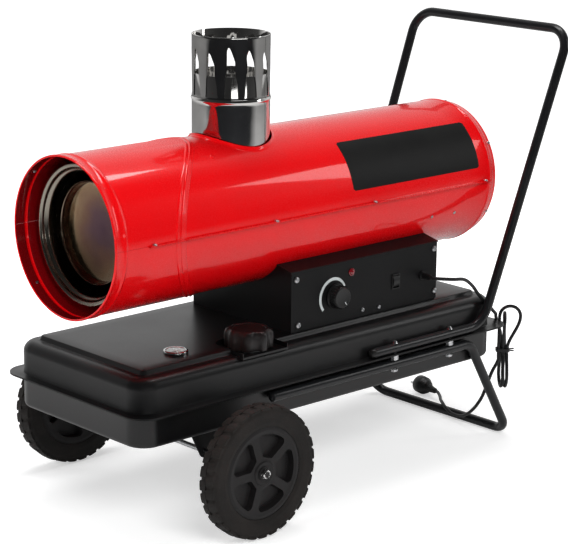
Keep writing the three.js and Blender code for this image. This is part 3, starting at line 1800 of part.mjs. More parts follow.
// A smooth stretch through given places whose two ends are straight and square.
function freeStretch(start, startWay, places, end, endWay, steps) {
  const straight = 2 * cord.radius;
  const inner = [
    start.clone().addScaledVector(startWay, straight),
    ...places.map(([x, y, z]) => V(x, y, z)),
    end.clone().addScaledVector(endWay, -straight),
  ];
  const curve = new THREE.CatmullRomCurve3([start, ...inner, end], false, "centripetal");
  const shares = Array.from({ length: steps + 1 }, (_, i) => curve.getPointAt(i / steps));
  const near = (point) => point.distanceTo(start) > straight * 1.4 && point.distanceTo(end) > straight * 1.4;
  return [start, inner[0], ...shares.filter(near), inner[inner.length - 1], end];
}

const down = V(0, 0, -1);
const outward = V(0, -1, 0);
const cordStart = V(gland.x, glandTip - GAP, gland.z);
const hankEntry = hankPoints[0].clone().addScaledVector(down, -GAP);
const cordPoints = freeStretch(cordStart, outward, cordRun, hankEntry, down, 18);
add("power_cord", tube(cordPoints, cord.radius, cord.sides), cordBlack);

const plugTurn = THREE.MathUtils.degToRad(plug.heading);
const plugWay = V(Math.cos(plugTurn), Math.sin(plugTurn), 0);
const plugStart = V(plug.x, plug.y, plug.z);
const hankExit = hankPoints[hankPoints.length - 1].clone().addScaledVector(down, GAP);
const tailEnd = plugStart.clone().addScaledVector(plugWay, -GAP);
const tailPoints = freeStretch(hankExit, down, tailRun, tailEnd, plugWay, 20);
add("power_cord_tail", tube(tailPoints, cord.radius, cord.sides), cordBlack);

// A flat band round the strands, with its twisted ends standing out.
function cordTie() {
  const { waist, pitch, looseMiddle, loose } = hank;
  const reach = cord.radius + tie.play;
  const sideLow = looseMiddle - loose - reach;
  const sideHigh = pitch + reach;
  const half = waist + reach;
  const ring = (grow) =>
    shapeFrom([
      [-half - grow, sideLow + 2.2],
      [-half + 2.2, sideLow - grow],
      [half - 2.2, sideLow - grow],
      [half + grow, sideLow + 2.2],
      [half + grow, sideHigh - 2.2],
      [half - 2.2, sideHigh + grow],
      [-half + 2.2, sideHigh + grow],
      [-half - grow, sideHigh - 2.2],
    ]);
  const band = cut(
    raise(ring(tie.thick), -tie.height / 2, tie.height / 2),
    raise(ring(0), -tie.height, tie.height),
  );
  const ends = [-1, 1].map((side) => {
    const end = block(side * 1.6 - 0.9, side * 1.6 + 0.9, sideHigh + 0.5, sideHigh + 11, -1.4, 1.4);
    return end.rotate([side * 9, 0, side * 8]);
  });
  const whole = join(band, ...ends);
  return whole.mirror([0, 1, 0]).rotate([0, 0, hank.heading]).translate([hank.x, hank.y, hank.z]);
}
add("cord_tie", cordTie(), cordBlack);

function powerPlug() {
  const { boot, bootRadius, body, radius, pin, pinRadius, pinSpacing } = plug;
  const grooves = Array.from({ length: 2 }, (_, i) => {
    const x = 3 + (i * (boot - 4)) / 2;
    const r = cord.radius + 1.5 + ((bootRadius - cord.radius - 1.5) * i) / 2;
    return [
      [r, x - 2.6],
      [r + 1, x - 2],
      [r + 1, x],
      [r, x + 0.6],
    ];
  }).flat();
  const shell = revolve(
    [
      [0, 0],
      [cord.radius + 1.5, 0],
      ...grooves,
      [bootRadius, boot - 1],
      [radius * 0.62, boot + 4],
      [radius * 0.84, boot + 12],
      [radius - 2, boot + 15],
      [radius, boot + 18],
      [radius, boot + body],
      [0, boot + body],
    ],
    14,
    "x",
  );
  const pins = [-1, 1].map((side) =>
    move(rod(pinRadius, boot + body - 1, pin + 1, "x", 6), 0, side * pinSpacing, 0),
  );
  const whole = join(shell, ...pins);
  return whole.rotate([0, 0, plug.heading]).translate([plug.x, plug.y, plug.z]);
}
add("power_plug", powerPlug(), rubber);

// ---- centred along X on the handle's top, which is the rearmost part

const rearmost = handle.kneeX + handle.slope * (handle.top - handleZ) + TUBE;
for (const mesh of heater.children) mesh.geometry.translate(-rearmost / 2, 0, 0);

export default heater;
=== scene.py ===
"""Looks of the forced air heater: smooth skins over the fixed frame, procedural finishes, light and camera.

Helpers take millimetres in the heater's own frame: x = 0 is the outlet rim, y = 0 the drum's
middle plane and z = 0 the floor. place() turns that into metres in the row frame.
"""

import math

import bmesh
import bpy
from mathutils import Matrix, Vector


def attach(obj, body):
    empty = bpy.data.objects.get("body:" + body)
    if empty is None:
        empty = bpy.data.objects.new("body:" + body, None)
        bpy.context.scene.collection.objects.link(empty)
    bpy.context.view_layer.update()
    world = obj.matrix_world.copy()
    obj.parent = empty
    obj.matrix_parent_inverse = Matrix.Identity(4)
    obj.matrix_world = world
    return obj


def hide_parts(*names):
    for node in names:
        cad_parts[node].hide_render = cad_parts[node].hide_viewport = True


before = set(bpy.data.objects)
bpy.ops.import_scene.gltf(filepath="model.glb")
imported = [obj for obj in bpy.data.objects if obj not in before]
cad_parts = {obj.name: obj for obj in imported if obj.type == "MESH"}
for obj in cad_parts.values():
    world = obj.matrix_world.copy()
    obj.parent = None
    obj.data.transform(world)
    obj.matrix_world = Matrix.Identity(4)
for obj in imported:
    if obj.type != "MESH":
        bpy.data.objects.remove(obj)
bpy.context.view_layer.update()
SHIFT = 563.555
MM = 0.001
TAU = 2 * math.pi
rad = math.radians
TO_ROW = Matrix.Scale(MM, 4) @ Matrix.Translation((-SHIFT, 0, 0))


def linked(name, data):
    """A new object in the scene."""
    thing = bpy.data.objects.new(name, data)
    bpy.context.scene.collection.objects.link(thing)
    return thing


# ---------------------------------------------------------------- camera

EYE = Vector((-2.67635, -2.8516, 1.3807))
FORWARD = Vector((0.6598, 0.7093, -0.2480)).normalized()
UP = Vector((0.1611, 0.1889, 0.9687))
UP = (UP - FORWARD * UP.dot(FORWARD)).normalized()
RIGHT = FORWARD.cross(UP)
lens = bpy.data.cameras.new("camera")
lens.lens = 129.83
lens.sensor_width = 36
lens.shift_x = -0.0044
lens.shift_y = 0.0032
lens.clip_end = 100
camera = linked("camera", lens)
camera.matrix_world = Matrix.Translation(EYE) @ Matrix((RIGHT, UP, -FORWARD)).transposed().to_4x4()
bpy.context.scene.camera = camera

# ---------------------------------------------------------------- finishes


class Nodes:
    """Short ways to add and join shader nodes in a tree."""

    def __init__(self, tree):
        self.tree = tree

    def add(self, kind, settings=None, **inputs):
        node = self.tree.nodes.new(kind)
        for key, value in (settings or {}).items():
            setattr(node, key, value)
        for key, value in inputs.items():
            self.feed(node.inputs[key.replace("_", " ")], value)
        return node

    def feed(self, socket, value):
        if isinstance(value, bpy.types.NodeSocket):
            self.tree.links.new(value, socket)
        else:
            socket.default_value = value

    def math(self, how, a, b=0.0):
        node = self.add("ShaderNodeMath", {"operation": how})
        self.feed(node.inputs[0], a)
        self.feed(node.inputs[1], b)
        return node.outputs[0]


class Paint(Nodes):
    """A Principled material whose colour, roughness and bump come from object-space noise."""

    def __init__(self, name):
        self.material = bpy.data.materials.new(name)
        self.material.use_nodes = True
        super().__init__(self.material.node_tree)
        self.shader = self.tree.nodes["Principled BSDF"]
        self.point = self.add("ShaderNodeTexCoord").outputs["Object"]

    def noise(self, scale, detail=3.0, stretch=(1, 1, 1), roughness=0.55):
        place = self.add("ShaderNodeMapping", Vector=self.point, Scale=stretch)
        node = self.add("ShaderNodeTexNoise", Vector=place.outputs[0], Scale=scale, Detail=detail)
        node.inputs["Roughness"].default_value = roughness
        return node.outputs[0]

    def ramp(self, value, stops):
        node = self.add("ShaderNodeValToRGB", Fac=value)
        points = node.color_ramp.elements
        while len(points) < len(stops):
            points.new(0.5)
        for point, (place, color) in zip(points, stops):
            point.position = place
            point.color = (*color, 1) if len(color) == 3 else color
        return node.outputs[0]

    def spread(self, value, low, high, start=0.3, end=0.7):
        node = self.add("ShaderNodeMapRange", Value=value)
        for key, number in zip(("From Min", "From Max", "To Min", "To Max"), (start, end, low, high)):
            node.inputs[key].default_value = number
        return node.outputs[0]

    def bump(self, height, strength, distance, under=None):
        node = self.add("ShaderNodeBump", Height=height, Strength=strength, Distance=distance)
        if under is not None:
            self.tree.links.new(under, node.inputs["Normal"])
        return node.outputs[0]

    def set(self, **inputs):
        for key, value in inputs.items():
            self.feed(self.shader.inputs[key.replace("_", " ")], value)
        return self


def coated(name, base, other, rough, grain, blotch=9.0, stretch=(1, 1, 1), **more):
    """Base drifts towards other in soft blotches; grain is (scale, strength, distance) of a fine bump."""
    p = Paint(name)
    soft = p.noise(blotch, 4, stretch)
    fine = p.noise(grain[0], 5, stretch)
    wide = p.noise(blotch * 0.4, 2)
    p.set(
        Base_Color=p.ramp(soft, [(0.38, base), (0.66, other)]),
        Roughness=p.spread(p.math("ADD", fine, p.math("MULTIPLY", soft, 0.6)), *rough, 0.5, 1.1),
        Normal=p.bump(fine, grain[1], grain[2], p.bump(wide, grain[1] * 0.5, grain[2] * 4)),
        **more,
    )
    return p.material


GLOSS = {"Coat_Weight": 0.7, "Coat_Roughness": 0.05, "Coat_IOR": 1.5, "Specular_IOR_Level": 0.12}
RED = coated("red_enamel", (0.80, 0.0022, 0.0045), (0.74, 0.0018, 0.004), (0.22, 0.32),
             (420, 0.03, 0.0004), 6, **GLOSS)
# A darker copy of the red enamel: painted shade for the inside of the outlet cowl, which has the same paint
# as the outside.
RED_PAINTED_SHADE = coated("red_enamel_painted_shade", (0.17, 0.0012, 0.003), (0.13, 0.001, 0.0024), (0.22, 0.32),
                  (420, 0.03, 0.0004), 6, **GLOSS)
TANK = coated("tank_black", (0.0035, 0.0035, 0.0038), (0.0055, 0.0052, 0.0054), (0.30, 0.42),
              (900, 0.10, 0.0003), 7, Coat_Weight=0.1, Coat_Roughness=0.2,
              Specular_IOR_Level=0.4)
BOX = coated("box_black", (0.0045, 0.0045, 0.0048), (0.0065, 0.0065, 0.0068), (0.46, 0.60),
             (1500, 0.22, 0.0003), 12, Specular_IOR_Level=0.22)
TUBING = coated("tube_black", (0.006, 0.0063, 0.007), (0.009, 0.0093, 0.0105), (0.26, 0.38),
                (700, 0.06, 0.0003), 14, Coat_Weight=0.2, Coat_Roughness=0.1, Specular_IOR_Level=0.3)
RUBBER = coated("tyre_rubber", (0.011, 0.0095, 0.0088), (0.019, 0.016, 0.0145), (0.62, 0.82),
                (420, 0.30, 0.0006), 22, Specular_IOR_Level=0.3)
HUB = coated("hub_plastic", (0.0085, 0.0078, 0.008), (0.0135, 0.0122, 0.0125), (0.42, 0.58),
             (1100, 0.20, 0.0003), 18, Specular_IOR_Level=0.3)
PLASTIC = coated("black_plastic", (0.005, 0.005, 0.0052), (0.0085, 0.0082, 0.0082), (0.36, 0.50),
                 (1300, 0.14, 0.0002), 40)
CAP = coated("cap_plastic", (0.007, 0.0055, 0.0055), (0.014, 0.009, 0.0085), (0.36, 0.48),
             (900, 0.12, 0.0003), 26)
FLEX = coated("cord_jacket", (0.005, 0.005, 0.0055), (0.008, 0.008, 0.0088), (0.42, 0.56),
              (1600, 0.16, 0.0002), 50)
ZINC = coated("zinc", (0.72, 0.73, 0.74), (0.56, 0.57, 0.59), (0.20, 0.40), (700, 0.12, 0.0002), 60,
              Metallic=1.0)
BRASS = coated("brass", (0.62, 0.44, 0.18), (0.50, 0.34, 0.13), (0.24, 0.42), (600, 0.1, 0.0002), 40,
               Metallic=1.0)
ALLOY = coated("cast_alloy", (0.42, 0.43, 0.44), (0.30, 0.31, 0.32), (0.38, 0.6),
               (500, 0.35, 0.0004), 30, Metallic=1.0)
CHROME = coated("bright_bezel", (0.78, 0.78, 0.77), (0.68, 0.68, 0.68), (0.08, 0.2),
                (900, 0.05, 0.0002), 40, Metallic=1.0)
WHITE = coated("white_print", (0.62, 0.66, 0.66), (0.52, 0.56, 0.56), (0.4, 0.55), (900, 0.1, 0.0002), 60)
DIAL = coated("dial_white", (0.72, 0.72, 0.69), (0.62, 0.62, 0.58), (0.35, 0.5), (900, 0.05, 0.0002), 60)
BOARD = coated("board_green", (0.03, 0.15, 0.06), (0.02, 0.10, 0.04), (0.35, 0.55),
               (500, 0.2, 0.0004), 80)
VINYL = coated("label_black", (0.004, 0.004, 0.004), (0.006, 0.006, 0.0056), (0.40, 0.52),
               (1200, 0.05, 0.0002), 18, Specular_IOR_Level=0.2)
LENS = coated("red_lens", (0.20, 0.003, 0.008), (0.14, 0.002, 0.005), (0.08, 0.16),
              (500, 0.05, 0.0002), 60, Coat_Weight=1.0, Coat_Roughness=0.03)


def steel(name, base, other, rough, stretch, scale, dents, **more):
    """Bright sheet with drawn streaks along one way, faint waves in its surface and light stains."""
    p = Paint(name)
    streak = p.noise(scale, 6, stretch, 0.7)
    wave = p.noise(11, 2)
    stain = p.noise(24, 4)
    p.set(
        Base_Color=p.ramp(stain, [(0.35, base), (0.7, other)]),
        Metallic=1.0,
        Roughness=p.spread(streak, *rough),
        Normal=p.bump(streak, 0.03, 0.0002, p.bump(wave, dents, 0.004)),
        **more,
    )
    return p.material


POLISHED = steel("polished_steel", (0.74, 0.73, 0.71), (0.62, 0.61, 0.60), (0.035, 0.10),
                 (1, 1, 0.03), 260, 0.10)


def tempered(name, stops, rough, centre_z=0.538, scale=0.13, swirl=0.35):
    """Steel with the colours that heat leaves, in bands by distance from the drum's axis."""
    p = Paint(name)
    spot = p.add("ShaderNodeSeparateXYZ", Vector=p.point)
    y = spot.outputs[1]
    z = p.math("SUBTRACT", spot.outputs[2], centre_z)
    reach = p.math("SQRT", p.math("ADD", p.math("MULTIPLY", y, y), p.math("MULTIPLY", z, z)))
    cloud = p.noise(17, 5)
    drift = p.math("MULTIPLY", p.math("SUBTRACT", cloud, 0.5), swirl)
    band = p.math("ADD", p.math("DIVIDE", reach, scale), drift)
    turned = p.noise(300, 4, (1, 0.05, 0.05))
    p.set(
        Base_Color=p.ramp(band, stops),
        Metallic=1.0,
        Roughness=p.spread(p.math("ADD", cloud, turned), *rough, 0.7, 1.3),
        Normal=p.bump(turned, 0.05, 0.0003, p.bump(cloud, 0.10, 0.002)),
    )
    return p.material


HEATED = tempered("heated_steel", [(0.0, (0.16, 0.10, 0.085)), (0.45, (0.19, 0.135, 0.10)),
                                   (0.74, (0.25, 0.20, 0.15)), (0.90, (0.34, 0.31, 0.26))], (0.16, 0.30))
DISC = tempered("tempered_disc", [(0.0, (0.10, 0.055, 0.075)), (0.22, (0.13, 0.075, 0.085)),
                                  (0.42, (0.20, 0.115, 0.085)), (0.60, (0.30, 0.20, 0.12)),
                                  (0.72, (0.40, 0.33, 0.22))], (0.14, 0.26), swirl=0.5)

# ---------------------------------------------------------------- mesh helpers


def turned(axis, r, along, angle):
    c, s = r * math.cos(angle), r * math.sin(angle)
    return {"x": (along, c, s), "y": (c, along, s), "z": (c, s, along)}[axis]


def skin(rings, loop=False, ring_closed=True, caps=True):
    """A closed surface through a stack of rings of equally many points."""
    bm = bmesh.new()
    grid = [[bm.verts.new(point) for point in ring] for ring in rings]
    count = len(rings[0])
    for a, b in zip(grid, grid[1:] + (grid[:1] if loop else [])):
        for i in range(count if ring_closed else count - 1):
            j = (i + 1) % count
            bm.faces.new((a[i], a[j], b[j], b[i]))
    if caps and not loop:
        bm.faces.new(grid[0])
        bm.faces.new(grid[-1])
    return tidy(bm)


def tidy(bm):
    bmesh.ops.remove_doubles(bm, verts=bm.verts, dist=1e-3)
    bmesh.ops.recalc_face_normals(bm, faces=bm.faces)
    if bm.calc_volume(signed=True) < 0:
        bmesh.ops.reverse_faces(bm, faces=bm.faces)
    return bm


def revolve(profile, sides, axis, start=0.0, end=360.0):
    """Turns a closed profile of (radius, along) round an axis through the origin."""
    whole = end - start >= 360
    count = sides if whole else sides + 1
    angles = [rad(start + (end - start) * i / sides) for i in range(count)]
    return skin([[turned(axis, r, h, a) for r, h in profile] for a in angles], loop=whole)


def moved(bm, x=0.0, y=0.0, z=0.0, turn=None):
    if turn:
        about = Matrix.Rotation(rad(turn[1]), 3, turn[0])
        bmesh.ops.rotate(bm, verts=bm.verts, cent=(0, 0, 0), matrix=about)
    bmesh.ops.translate(bm, verts=bm.verts, vec=(x, y, z))
    return bm


def together(*parts):
    """Several bmeshes as one."""
    whole = bmesh.new()
    for part in parts:
        spare = bpy.data.meshes.new("spare")
        part.to_mesh(spare)
        part.free()
        whole.from_mesh(spare)
        bpy.data.meshes.remove(spare)
    return whole


def box(x0, x1, y0, y1, z0, z1, bevel=0.0):
    bm = bmesh.new()
    size = Matrix.Diagonal((x1 - x0, y1 - y0, z1 - z0, 1))
    bmesh.ops.create_cube(bm, size=1,
                          matrix=Matrix.Translation(((x0 + x1) / 2, (y0 + y1) / 2, (z0 + z1) / 2)) @ size)
    if bevel:
        bmesh.ops.bevel(bm, geom=bm.edges[:], offset=bevel, segments=2, affect="EDGES")
    return bm


def carve(bm, *cutters, how="DIFFERENCE"):
    """bm with other bmeshes cut from it or joined to it."""
    mesh = bpy.data.meshes.new("work")
    bm.to_mesh(mesh)
    work = linked("work", mesh)
    others = []
    for cutter in cutters:
        other_mesh = bpy.data.meshes.new("cutter")
        cutter.to_mesh(other_mesh)
        cutter.free()
        other = linked("cutter", other_mesh)
        others.append(other)
        step = work.modifiers.new("cut", "BOOLEAN")
        step.object = other
        step.operation = how
        step.solver = "MANIFOLD"
    bpy.context.view_layer.update()
    result = bpy.data.meshes.new_from_object(work.evaluated_get(bpy.context.evaluated_depsgraph_get()))
    bm.clear()
    bm.from_mesh(result)
    for thing in [work, *others]:
        old = thing.data
        bpy.data.objects.remove(thing)
        bpy.data.meshes.remove(old)
    bpy.data.meshes.remove(result)
    return bm


def show(name, bm, material, body, replaces, sharp, bevel=0.0):
    """bm, in metres of the row frame, as a shown piece that rides on a body."""
    mesh = bpy.data.meshes.new(name)
    bm.to_mesh(mesh)
    bm.free()
    normals = mesh.attributes.get("custom_normal")
    if normals:
        mesh.attributes.remove(normals)
    mesh.materials.append(material)
    mesh.shade_smooth()
    mesh.set_sharp_from_angle(angle=rad(sharp))
    piece = linked(name, mesh)
    if bevel:
        step = piece.modifiers.new("edge", "BEVEL")
        step.width = bevel * MM
        step.segments = 2
        step.limit_method = "ANGLE"
        step.angle_limit = rad(40)
        step.harden_normals = True
    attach(piece, body)
    if replaces:
        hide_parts(*replaces)
    return piece


def place(name, bm, material, body="base", slot=None, replaces=(), sharp=34.0):
    """bm, in millimetres, as a shown piece."""
    bm.transform(TO_ROW)
    return show(name, bm, material, body, replaces, sharp)


def dress(node, bm, material, body="base", slot=None, sharp=34.0):
    """place() for a piece that stands for one CAD node."""
    return place(node + ".shown", bm, material, body, slot, (node,), sharp)


def polish(node, material, body="base", bevel=0.0, sharp=38.0):
    """A copy of a CAD node with softened edges and smooth rounds stands for the node."""
    bm = bmesh.new()
    bm.from_mesh(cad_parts[node].data)
    for layer in list(bm.loops.layers.uv):
        bm.loops.layers.uv.remove(layer)
    bmesh.ops.remove_doubles(bm, verts=bm.verts, dist=1e-6)
    bmesh.ops.dissolve_limit(bm, angle_limit=rad(0.5), verts=bm.verts, edges=bm.edges)
    return show(node + ".shown", bm, material, body, (node,), sharp, bevel)


def sweep(path, radius, sides=20, flat_ends=True):
    """A round bar along a path of points, without twist."""
    points = [Vector(p) for p in path]
    last = len(points) - 1
    ways = [(points[min(i + 1, last)] - points[max(i - 1, 0)]).normalized() for i in range(last + 1)]
    side = ways[0].orthogonal().normalized()
    turns = [TAU * k / sides for k in range(sides)]
    rings = []
    for point, way in zip(points, ways):
        side = (side - way * side.dot(way)).normalized()
        other = way.cross(side)
        rings.append([point + (side * math.cos(t) + other * math.sin(t)) * radius for t in turns])
    return skin(rings, caps=flat_ends)


def fillet(before, at, after, radius):
    """The centre of a round corner, and the ways from there to its two ends."""
    corner = Vector(at)
    back, on = [(Vector(p) - corner).normalized() for p in (before, after)]
    half = back.angle(on) / 2
    centre = corner + (back + on).normalized() * radius / math.sin(half)
    return centre, *[corner + way * radius / math.tan(half) - centre for way in (back, on)]


def bent_run(corners, radii, steps=12):
    """A run of straight tube with a round bend at each inner corner."""
    points = [Vector(corners[0])]
    for *three, radius in zip(corners, corners[1:], corners[2:], radii):
        centre, a, b = fillet(*three, radius)
        axis, whole = a.cross(b).normalized(), a.angle(b)
        points += [Matrix.Rotation(whole * k / steps, 3, axis) @ a + centre for k in range(steps + 1)]
    return points + [Vector(corners[-1])]


def smooth_path(points, fine=6):
    """A centripetal Catmull-Rom curve through the points."""
    pts = [Vector(p) for p in points]
    pts = [pts[0] * 2 - pts[1]] + pts + [pts[-1] * 2 - pts[-2]]
    out = []
    for i in range(1, len(pts) - 2):
        p0, p1, p2, p3 = pts[i - 1:i + 3]
        t1 = (p1 - p0).length ** 0.5
        t2 = t1 + (p2 - p1).length ** 0.5
        t3 = t2 + (p3 - p2).length ** 0.5
        for k in range(fine):
            t = t1 + (t2 - t1) * k / fine
            a1 = p0 * ((t1 - t) / t1) + p1 * (t / t1)
            a2 = p1 * ((t2 - t) / (t2 - t1)) + p2 * ((t - t1) / (t2 - t1))
            a3 = p2 * ((t3 - t) / (t3 - t2)) + p3 * ((t - t2) / (t3 - t2))
            b1 = a1 * ((t2 - t) / t2) + a2 * (t / t2)
            b2 = a2 * ((t3 - t) / (t3 - t1)) + a3 * ((t - t1) / (t3 - t1))
            out.append(b1 * ((t2 - t) / (t2 - t1)) + b2 * ((t - t1) / (t2 - t1)))
    return out + [pts[-2]]


def rounded(corners, radii, steps=6):
    """A flat outline with a fillet at each corner whose radius isn't zero."""
    out = []
    for i, (corner, radius) in enumerate(zip(corners, radii)):
        if radius == 0:
            out.append(Vector(corner))
            continue
        centre, a, b = fillet(corners[i - 1], corner, corners[(i + 1) % len(corners)], radius)
        turn = a.angle_signed(b)
        for k in range(steps + 1):
            angle = -turn * k / steps
            out.append(centre + Vector((a.x * math.cos(angle) - a.y * math.sin(angle),
                                        a.x * math.sin(angle) + a.y * math.cos(angle))))
    return out


# ---------------------------------------------------------------- the mains cord

CORD = 3.5
HANK = {"x": 998, "y": -174, "z": 179.5, "heading": rad(47.2), "fold": 21.5, "waist": 4.3, "pitch": 4.2,
        "ease": 55, "run": 57, "loose_run": 73, "middle": 8.5, "loose": 21.5, "stub": 14}
CORD_RUN = [(790, -212, 372), (824, -211, 366), (858, -202, 347), (893, -190, 319), (912, -187, 303),
            (927, -189, 289), (948, -185, 272), (968, -172, 262), (984, -159, 250), (991, -157, 235),
            (994.5, -163.5, 216)]
TAIL_RUN = [(977, -160, 132), (969, -154, 104), (966, -143, 73), (966, -117, 39), (973, -82, 17),
            (978, -50, 14), (984, -26, 20.5), (994, -8, 24), (1006, 8, 23.6), (1028, 31, 22)]
PLUG = Vector((1052, 66, 20))
PLUG_TURN = 77.0
PLUG_WAY = Vector((math.cos(rad(PLUG_TURN)), math.sin(rad(PLUG_TURN)), 0))
GLAND = Vector((765, -178.9, 373))


def ease(share):
    return share * share * (3 - 2 * share)


def hank_points():
    h = HANK
    c, s = math.cos(h["heading"]), math.sin(h["heading"])
    path = []

    def put(along, aside, up):
        path.append(Vector((h["x"] + along * c + aside * s, h["y"] + along * s - aside * c, h["z"] + up)))

    def width(up):
        return h["waist"] + (h["fold"] - h["waist"]) * ease(min(abs(up) / h["ease"], 1))

    def strand(row, aside, start, end, steps):
        for i in range(steps + 1):
            up = start + (end - start) * i / steps
            put(row * width(up), aside, up)

    def bend(row, aside, side):
        for i in range(1, 6):
            angle = math.pi * i / 6
            put(row * h["fold"] * math.cos(angle), aside + h["pitch"] * i / 6,
                side * (h["run"] + h["fold"] * math.sin(angle)))

    first, pitch, run = -2 * h["pitch"], h["pitch"], h["run"]
    put(h["waist"], first, h["stub"])
    put(h["waist"], first, h["stub"] - 7)
    strand(1, first, 0, -run, 5)
    bend(1, first, -1)
    strand(-1, first + pitch, -run, run, 9)
    bend(-1, first + pitch, 1)
    strand(1, first + 2 * pitch, run, -run, 9)
    bend(1, first + 2 * pitch, -1)
    strand(-1, first + 3 * pitch, -run, 0, 6)
    right, left, last = h["middle"] + h["loose"], h["middle"] - h["loose"], first + 3 * pitch
    for i in range(1, 8):
        put(-h["waist"], last + (right - last) * ease(i / 7), h["loose_run"] * i / 7)
    for i in range(1, 8):
        angle = math.pi * i / 7
        put(-h["waist"], h["middle"] + h["loose"] * math.cos(angle),
            h["loose_run"] + h["loose"] * math.sin(angle))
    for up in (h["loose_run"] * 0.66, h["loose_run"] * 0.33, 7, -h["stub"] + 7, -h["stub"]):
        put(-h["waist"], left, up)
    return path


hank = hank_points()
cord_route = smooth_path(
    [GLAND, GLAND + Vector((0, -7, 0)), *CORD_RUN, hank[0] + Vector((0, 0, 7)), *hank,
     hank[-1] - Vector((0, 0, 7)), *TAIL_RUN, PLUG - PLUG_WAY * 7, PLUG - PLUG_WAY * 0.3])
cord_piece = place("mains_cord", sweep(cord_route, CORD, 14), FLEX,
                   replaces=("power_cord", "cord_hank", "power_cord_tail"), sharp=60)
tie_piece = polish("cord_tie", FLEX, bevel=0.4)

boot_grooves = []
for i in range(5):
    at, r = 2 + i * 4.6, 5 + 2 * i / 4
    boot_grooves += [(r, at), (r + 1.1, at + 0.7), (r + 1.1, at + 2.3), (r, at + 3)]
plug_profile = [(0, 0), (5, 0), *boot_grooves, (7, 25), (9, 27.5), (12.1, 30), (14.6, 33.5), (16.4, 38),
                (17.5, 41), (18.6, 43), (19.5, 44.5), (19.5, 62.6), (18.7, 64), (0, 64)]
plug_pins = [moved(revolve([(0, 63), (2.4, 63), (2.4, 81), (1.6, 83), (0, 83)], 20, "x"), y=side * 9.5)
             for side in (-1, 1)]
plug_piece = place("power_plug.body", moved(revolve(plug_profile, 48, "x"), *PLUG, turn=("Z", PLUG_TURN)),
                   PLASTIC, slot="tyre_rubber", replaces=("power_plug",))
pin_piece = place("power_plug.pins", moved(together(*plug_pins), *PLUG, turn=("Z", PLUG_TURN)), ZINC)

# ---------------------------------------------------------------- drum shells and outlet cowl

AXIS_Z = 538
DRUM = 145.5
COWL_IN, COWL_OUT = 145.8, 147.3
SEAM_GAP = 0.15
ARC = 96


def joint_x(y):
    return 348.4 - math.hypot(63.6, 1.211 * y)


def half_tube(profile, upper, end_at):
    """Half a tube round the drum's axis. Each profile point is (radius, x, share): a share of the
    curved joint's place is added to x, so 1.0 follows the joint and None leaves x as it is."""
    rings = []
    lift = rad(0.06)
    for i in range(ARC + 1):
        angle = lift + (math.pi - 2 * lift) * i / ARC
        if not upper:
            angle = -angle
        ring = []
        for r, x, share in profile:
            y = r * math.cos(angle)
            along = x if share is None else x + share * (joint_x(y) + end_at)
            ring.append((along, y, AXIS_Z + r * math.sin(angle)))
        rings.append(ring)
    return skin(rings)


def swell(x, radius, height, half=5.0, steps=6):
    return [(radius + height * 0.5 * (1 + math.cos(math.pi * (2 * i / steps - 1))),
             x - half + 2 * half * i / steps, None) for i in range(steps + 1)]


def cowl_profile():
    roll = [(COWL_OUT + 1.1 + 1.1 * math.sin(rad(a)), 2.2 - 2.2 * math.cos(rad(a)), None)
            for a in (-60, -20, 20, 60, 100, 140)]
    band = [(0.0, -23), (0.9, -21.4), (1.5, -19.5), (1.5, -17.5), (0.5, -15.8), (0.3, -14), (0.5, -12.2),
            (1.5, -10.5), (1.5, -8.5), (0.8, -6.8), (0.1, -5)]
    outer = [*roll, (COWL_OUT, 6.6, None), *swell(24, COWL_OUT, 2.0), (COWL_OUT, 30, None)]
    outer += [(COWL_OUT + h, d, 1.0) for h, d in band]
    outer += [(COWL_OUT, -0.3, 1.0), (COWL_OUT - 0.3, 0, 1.0), (COWL_IN, 0, 1.0)]
    inner = [(COWL_IN, 29, None), *[(r - 1.4, x, s) for r, x, s in reversed(swell(24, COWL_IN + 1.4, 1.7))],
             (COWL_IN, 0.6, None)]
    return outer + inner


def flange_strips(x0, x1, upper, inner):
    """The two flat strips along the seam, one on each side."""
    z0 = AXIS_Z + SEAM_GAP if upper else AXIS_Z - SEAM_GAP - 1.5
    pairs = [sorted((side * inner, side * (DRUM + 8))) for side in (-1, 1)]
    return [box(x0, x1, y0, y1, z0, z0 + 1.5, 0.5) for y0, y1 in pairs]


JOINT_SIDE = joint_x(150)
COWL_FACE_R = 0.1466
for upper, word in ((True, "upper"), (False, "lower")):
    parts = [half_tube(cowl_profile(), upper, 0), *flange_strips(74, JOINT_SIDE - 1, upper, COWL_IN + 0.4)]
    cowl = dress("outlet_cowl_" + word, together(*parts), RED)
    # The cowl's inner faces take the darker red copy: painted shade inside the outlet, not a different
    # paint.
    cowl.data.materials.append(RED_PAINTED_SHADE)
    for face in cowl.data.polygons:
        _, y, z = face.center
        across = Vector((y, z - AXIS_Z * MM))
        if across.length < COWL_FACE_R and across.dot(Vector(face.normal[1:])) < 0:
            face.material_index = 1

rear_outer = [(DRUM, 900, None), *swell(964, DRUM, 2.0), (DRUM, 971, None), (DRUM - 0.6, 973.5, None),
              (144, 975.5, None), (142.6, 977.5, None), (142, 981, None), (141.5, 985, None),
              (141.3, 987, None), (140.4, 988, None), (137.4, 988, None), (137, 987.6, None),
              (137, 986.5, None), (139.3, 986.3, None), (140, 980, None), (140.6, 977, None),
              (143.2, 973, None), (144, 969, None)]


def main_profile():
    start = [(144, 0, 1.0), (DRUM, 0, 1.0), (DRUM, 60, 0.9), (DRUM, 340, None), (DRUM, 460, None),
             (DRUM, 700, None)]
    return start + rear_outer + [(144, 900, None), (144, 460, None), (144, 340, None)]


FLUE_X, FLUE_R = 393, 73.7


def on_drum(r, angle, lift):
    """A point of the collar round the chimney: r and angle from the chimney's axis, lift off the drum."""
    y = r * math.sin(angle)
    return (FLUE_X + r * math.cos(angle), y, AXIS_Z + math.sqrt((DRUM + lift) ** 2 - y * y))


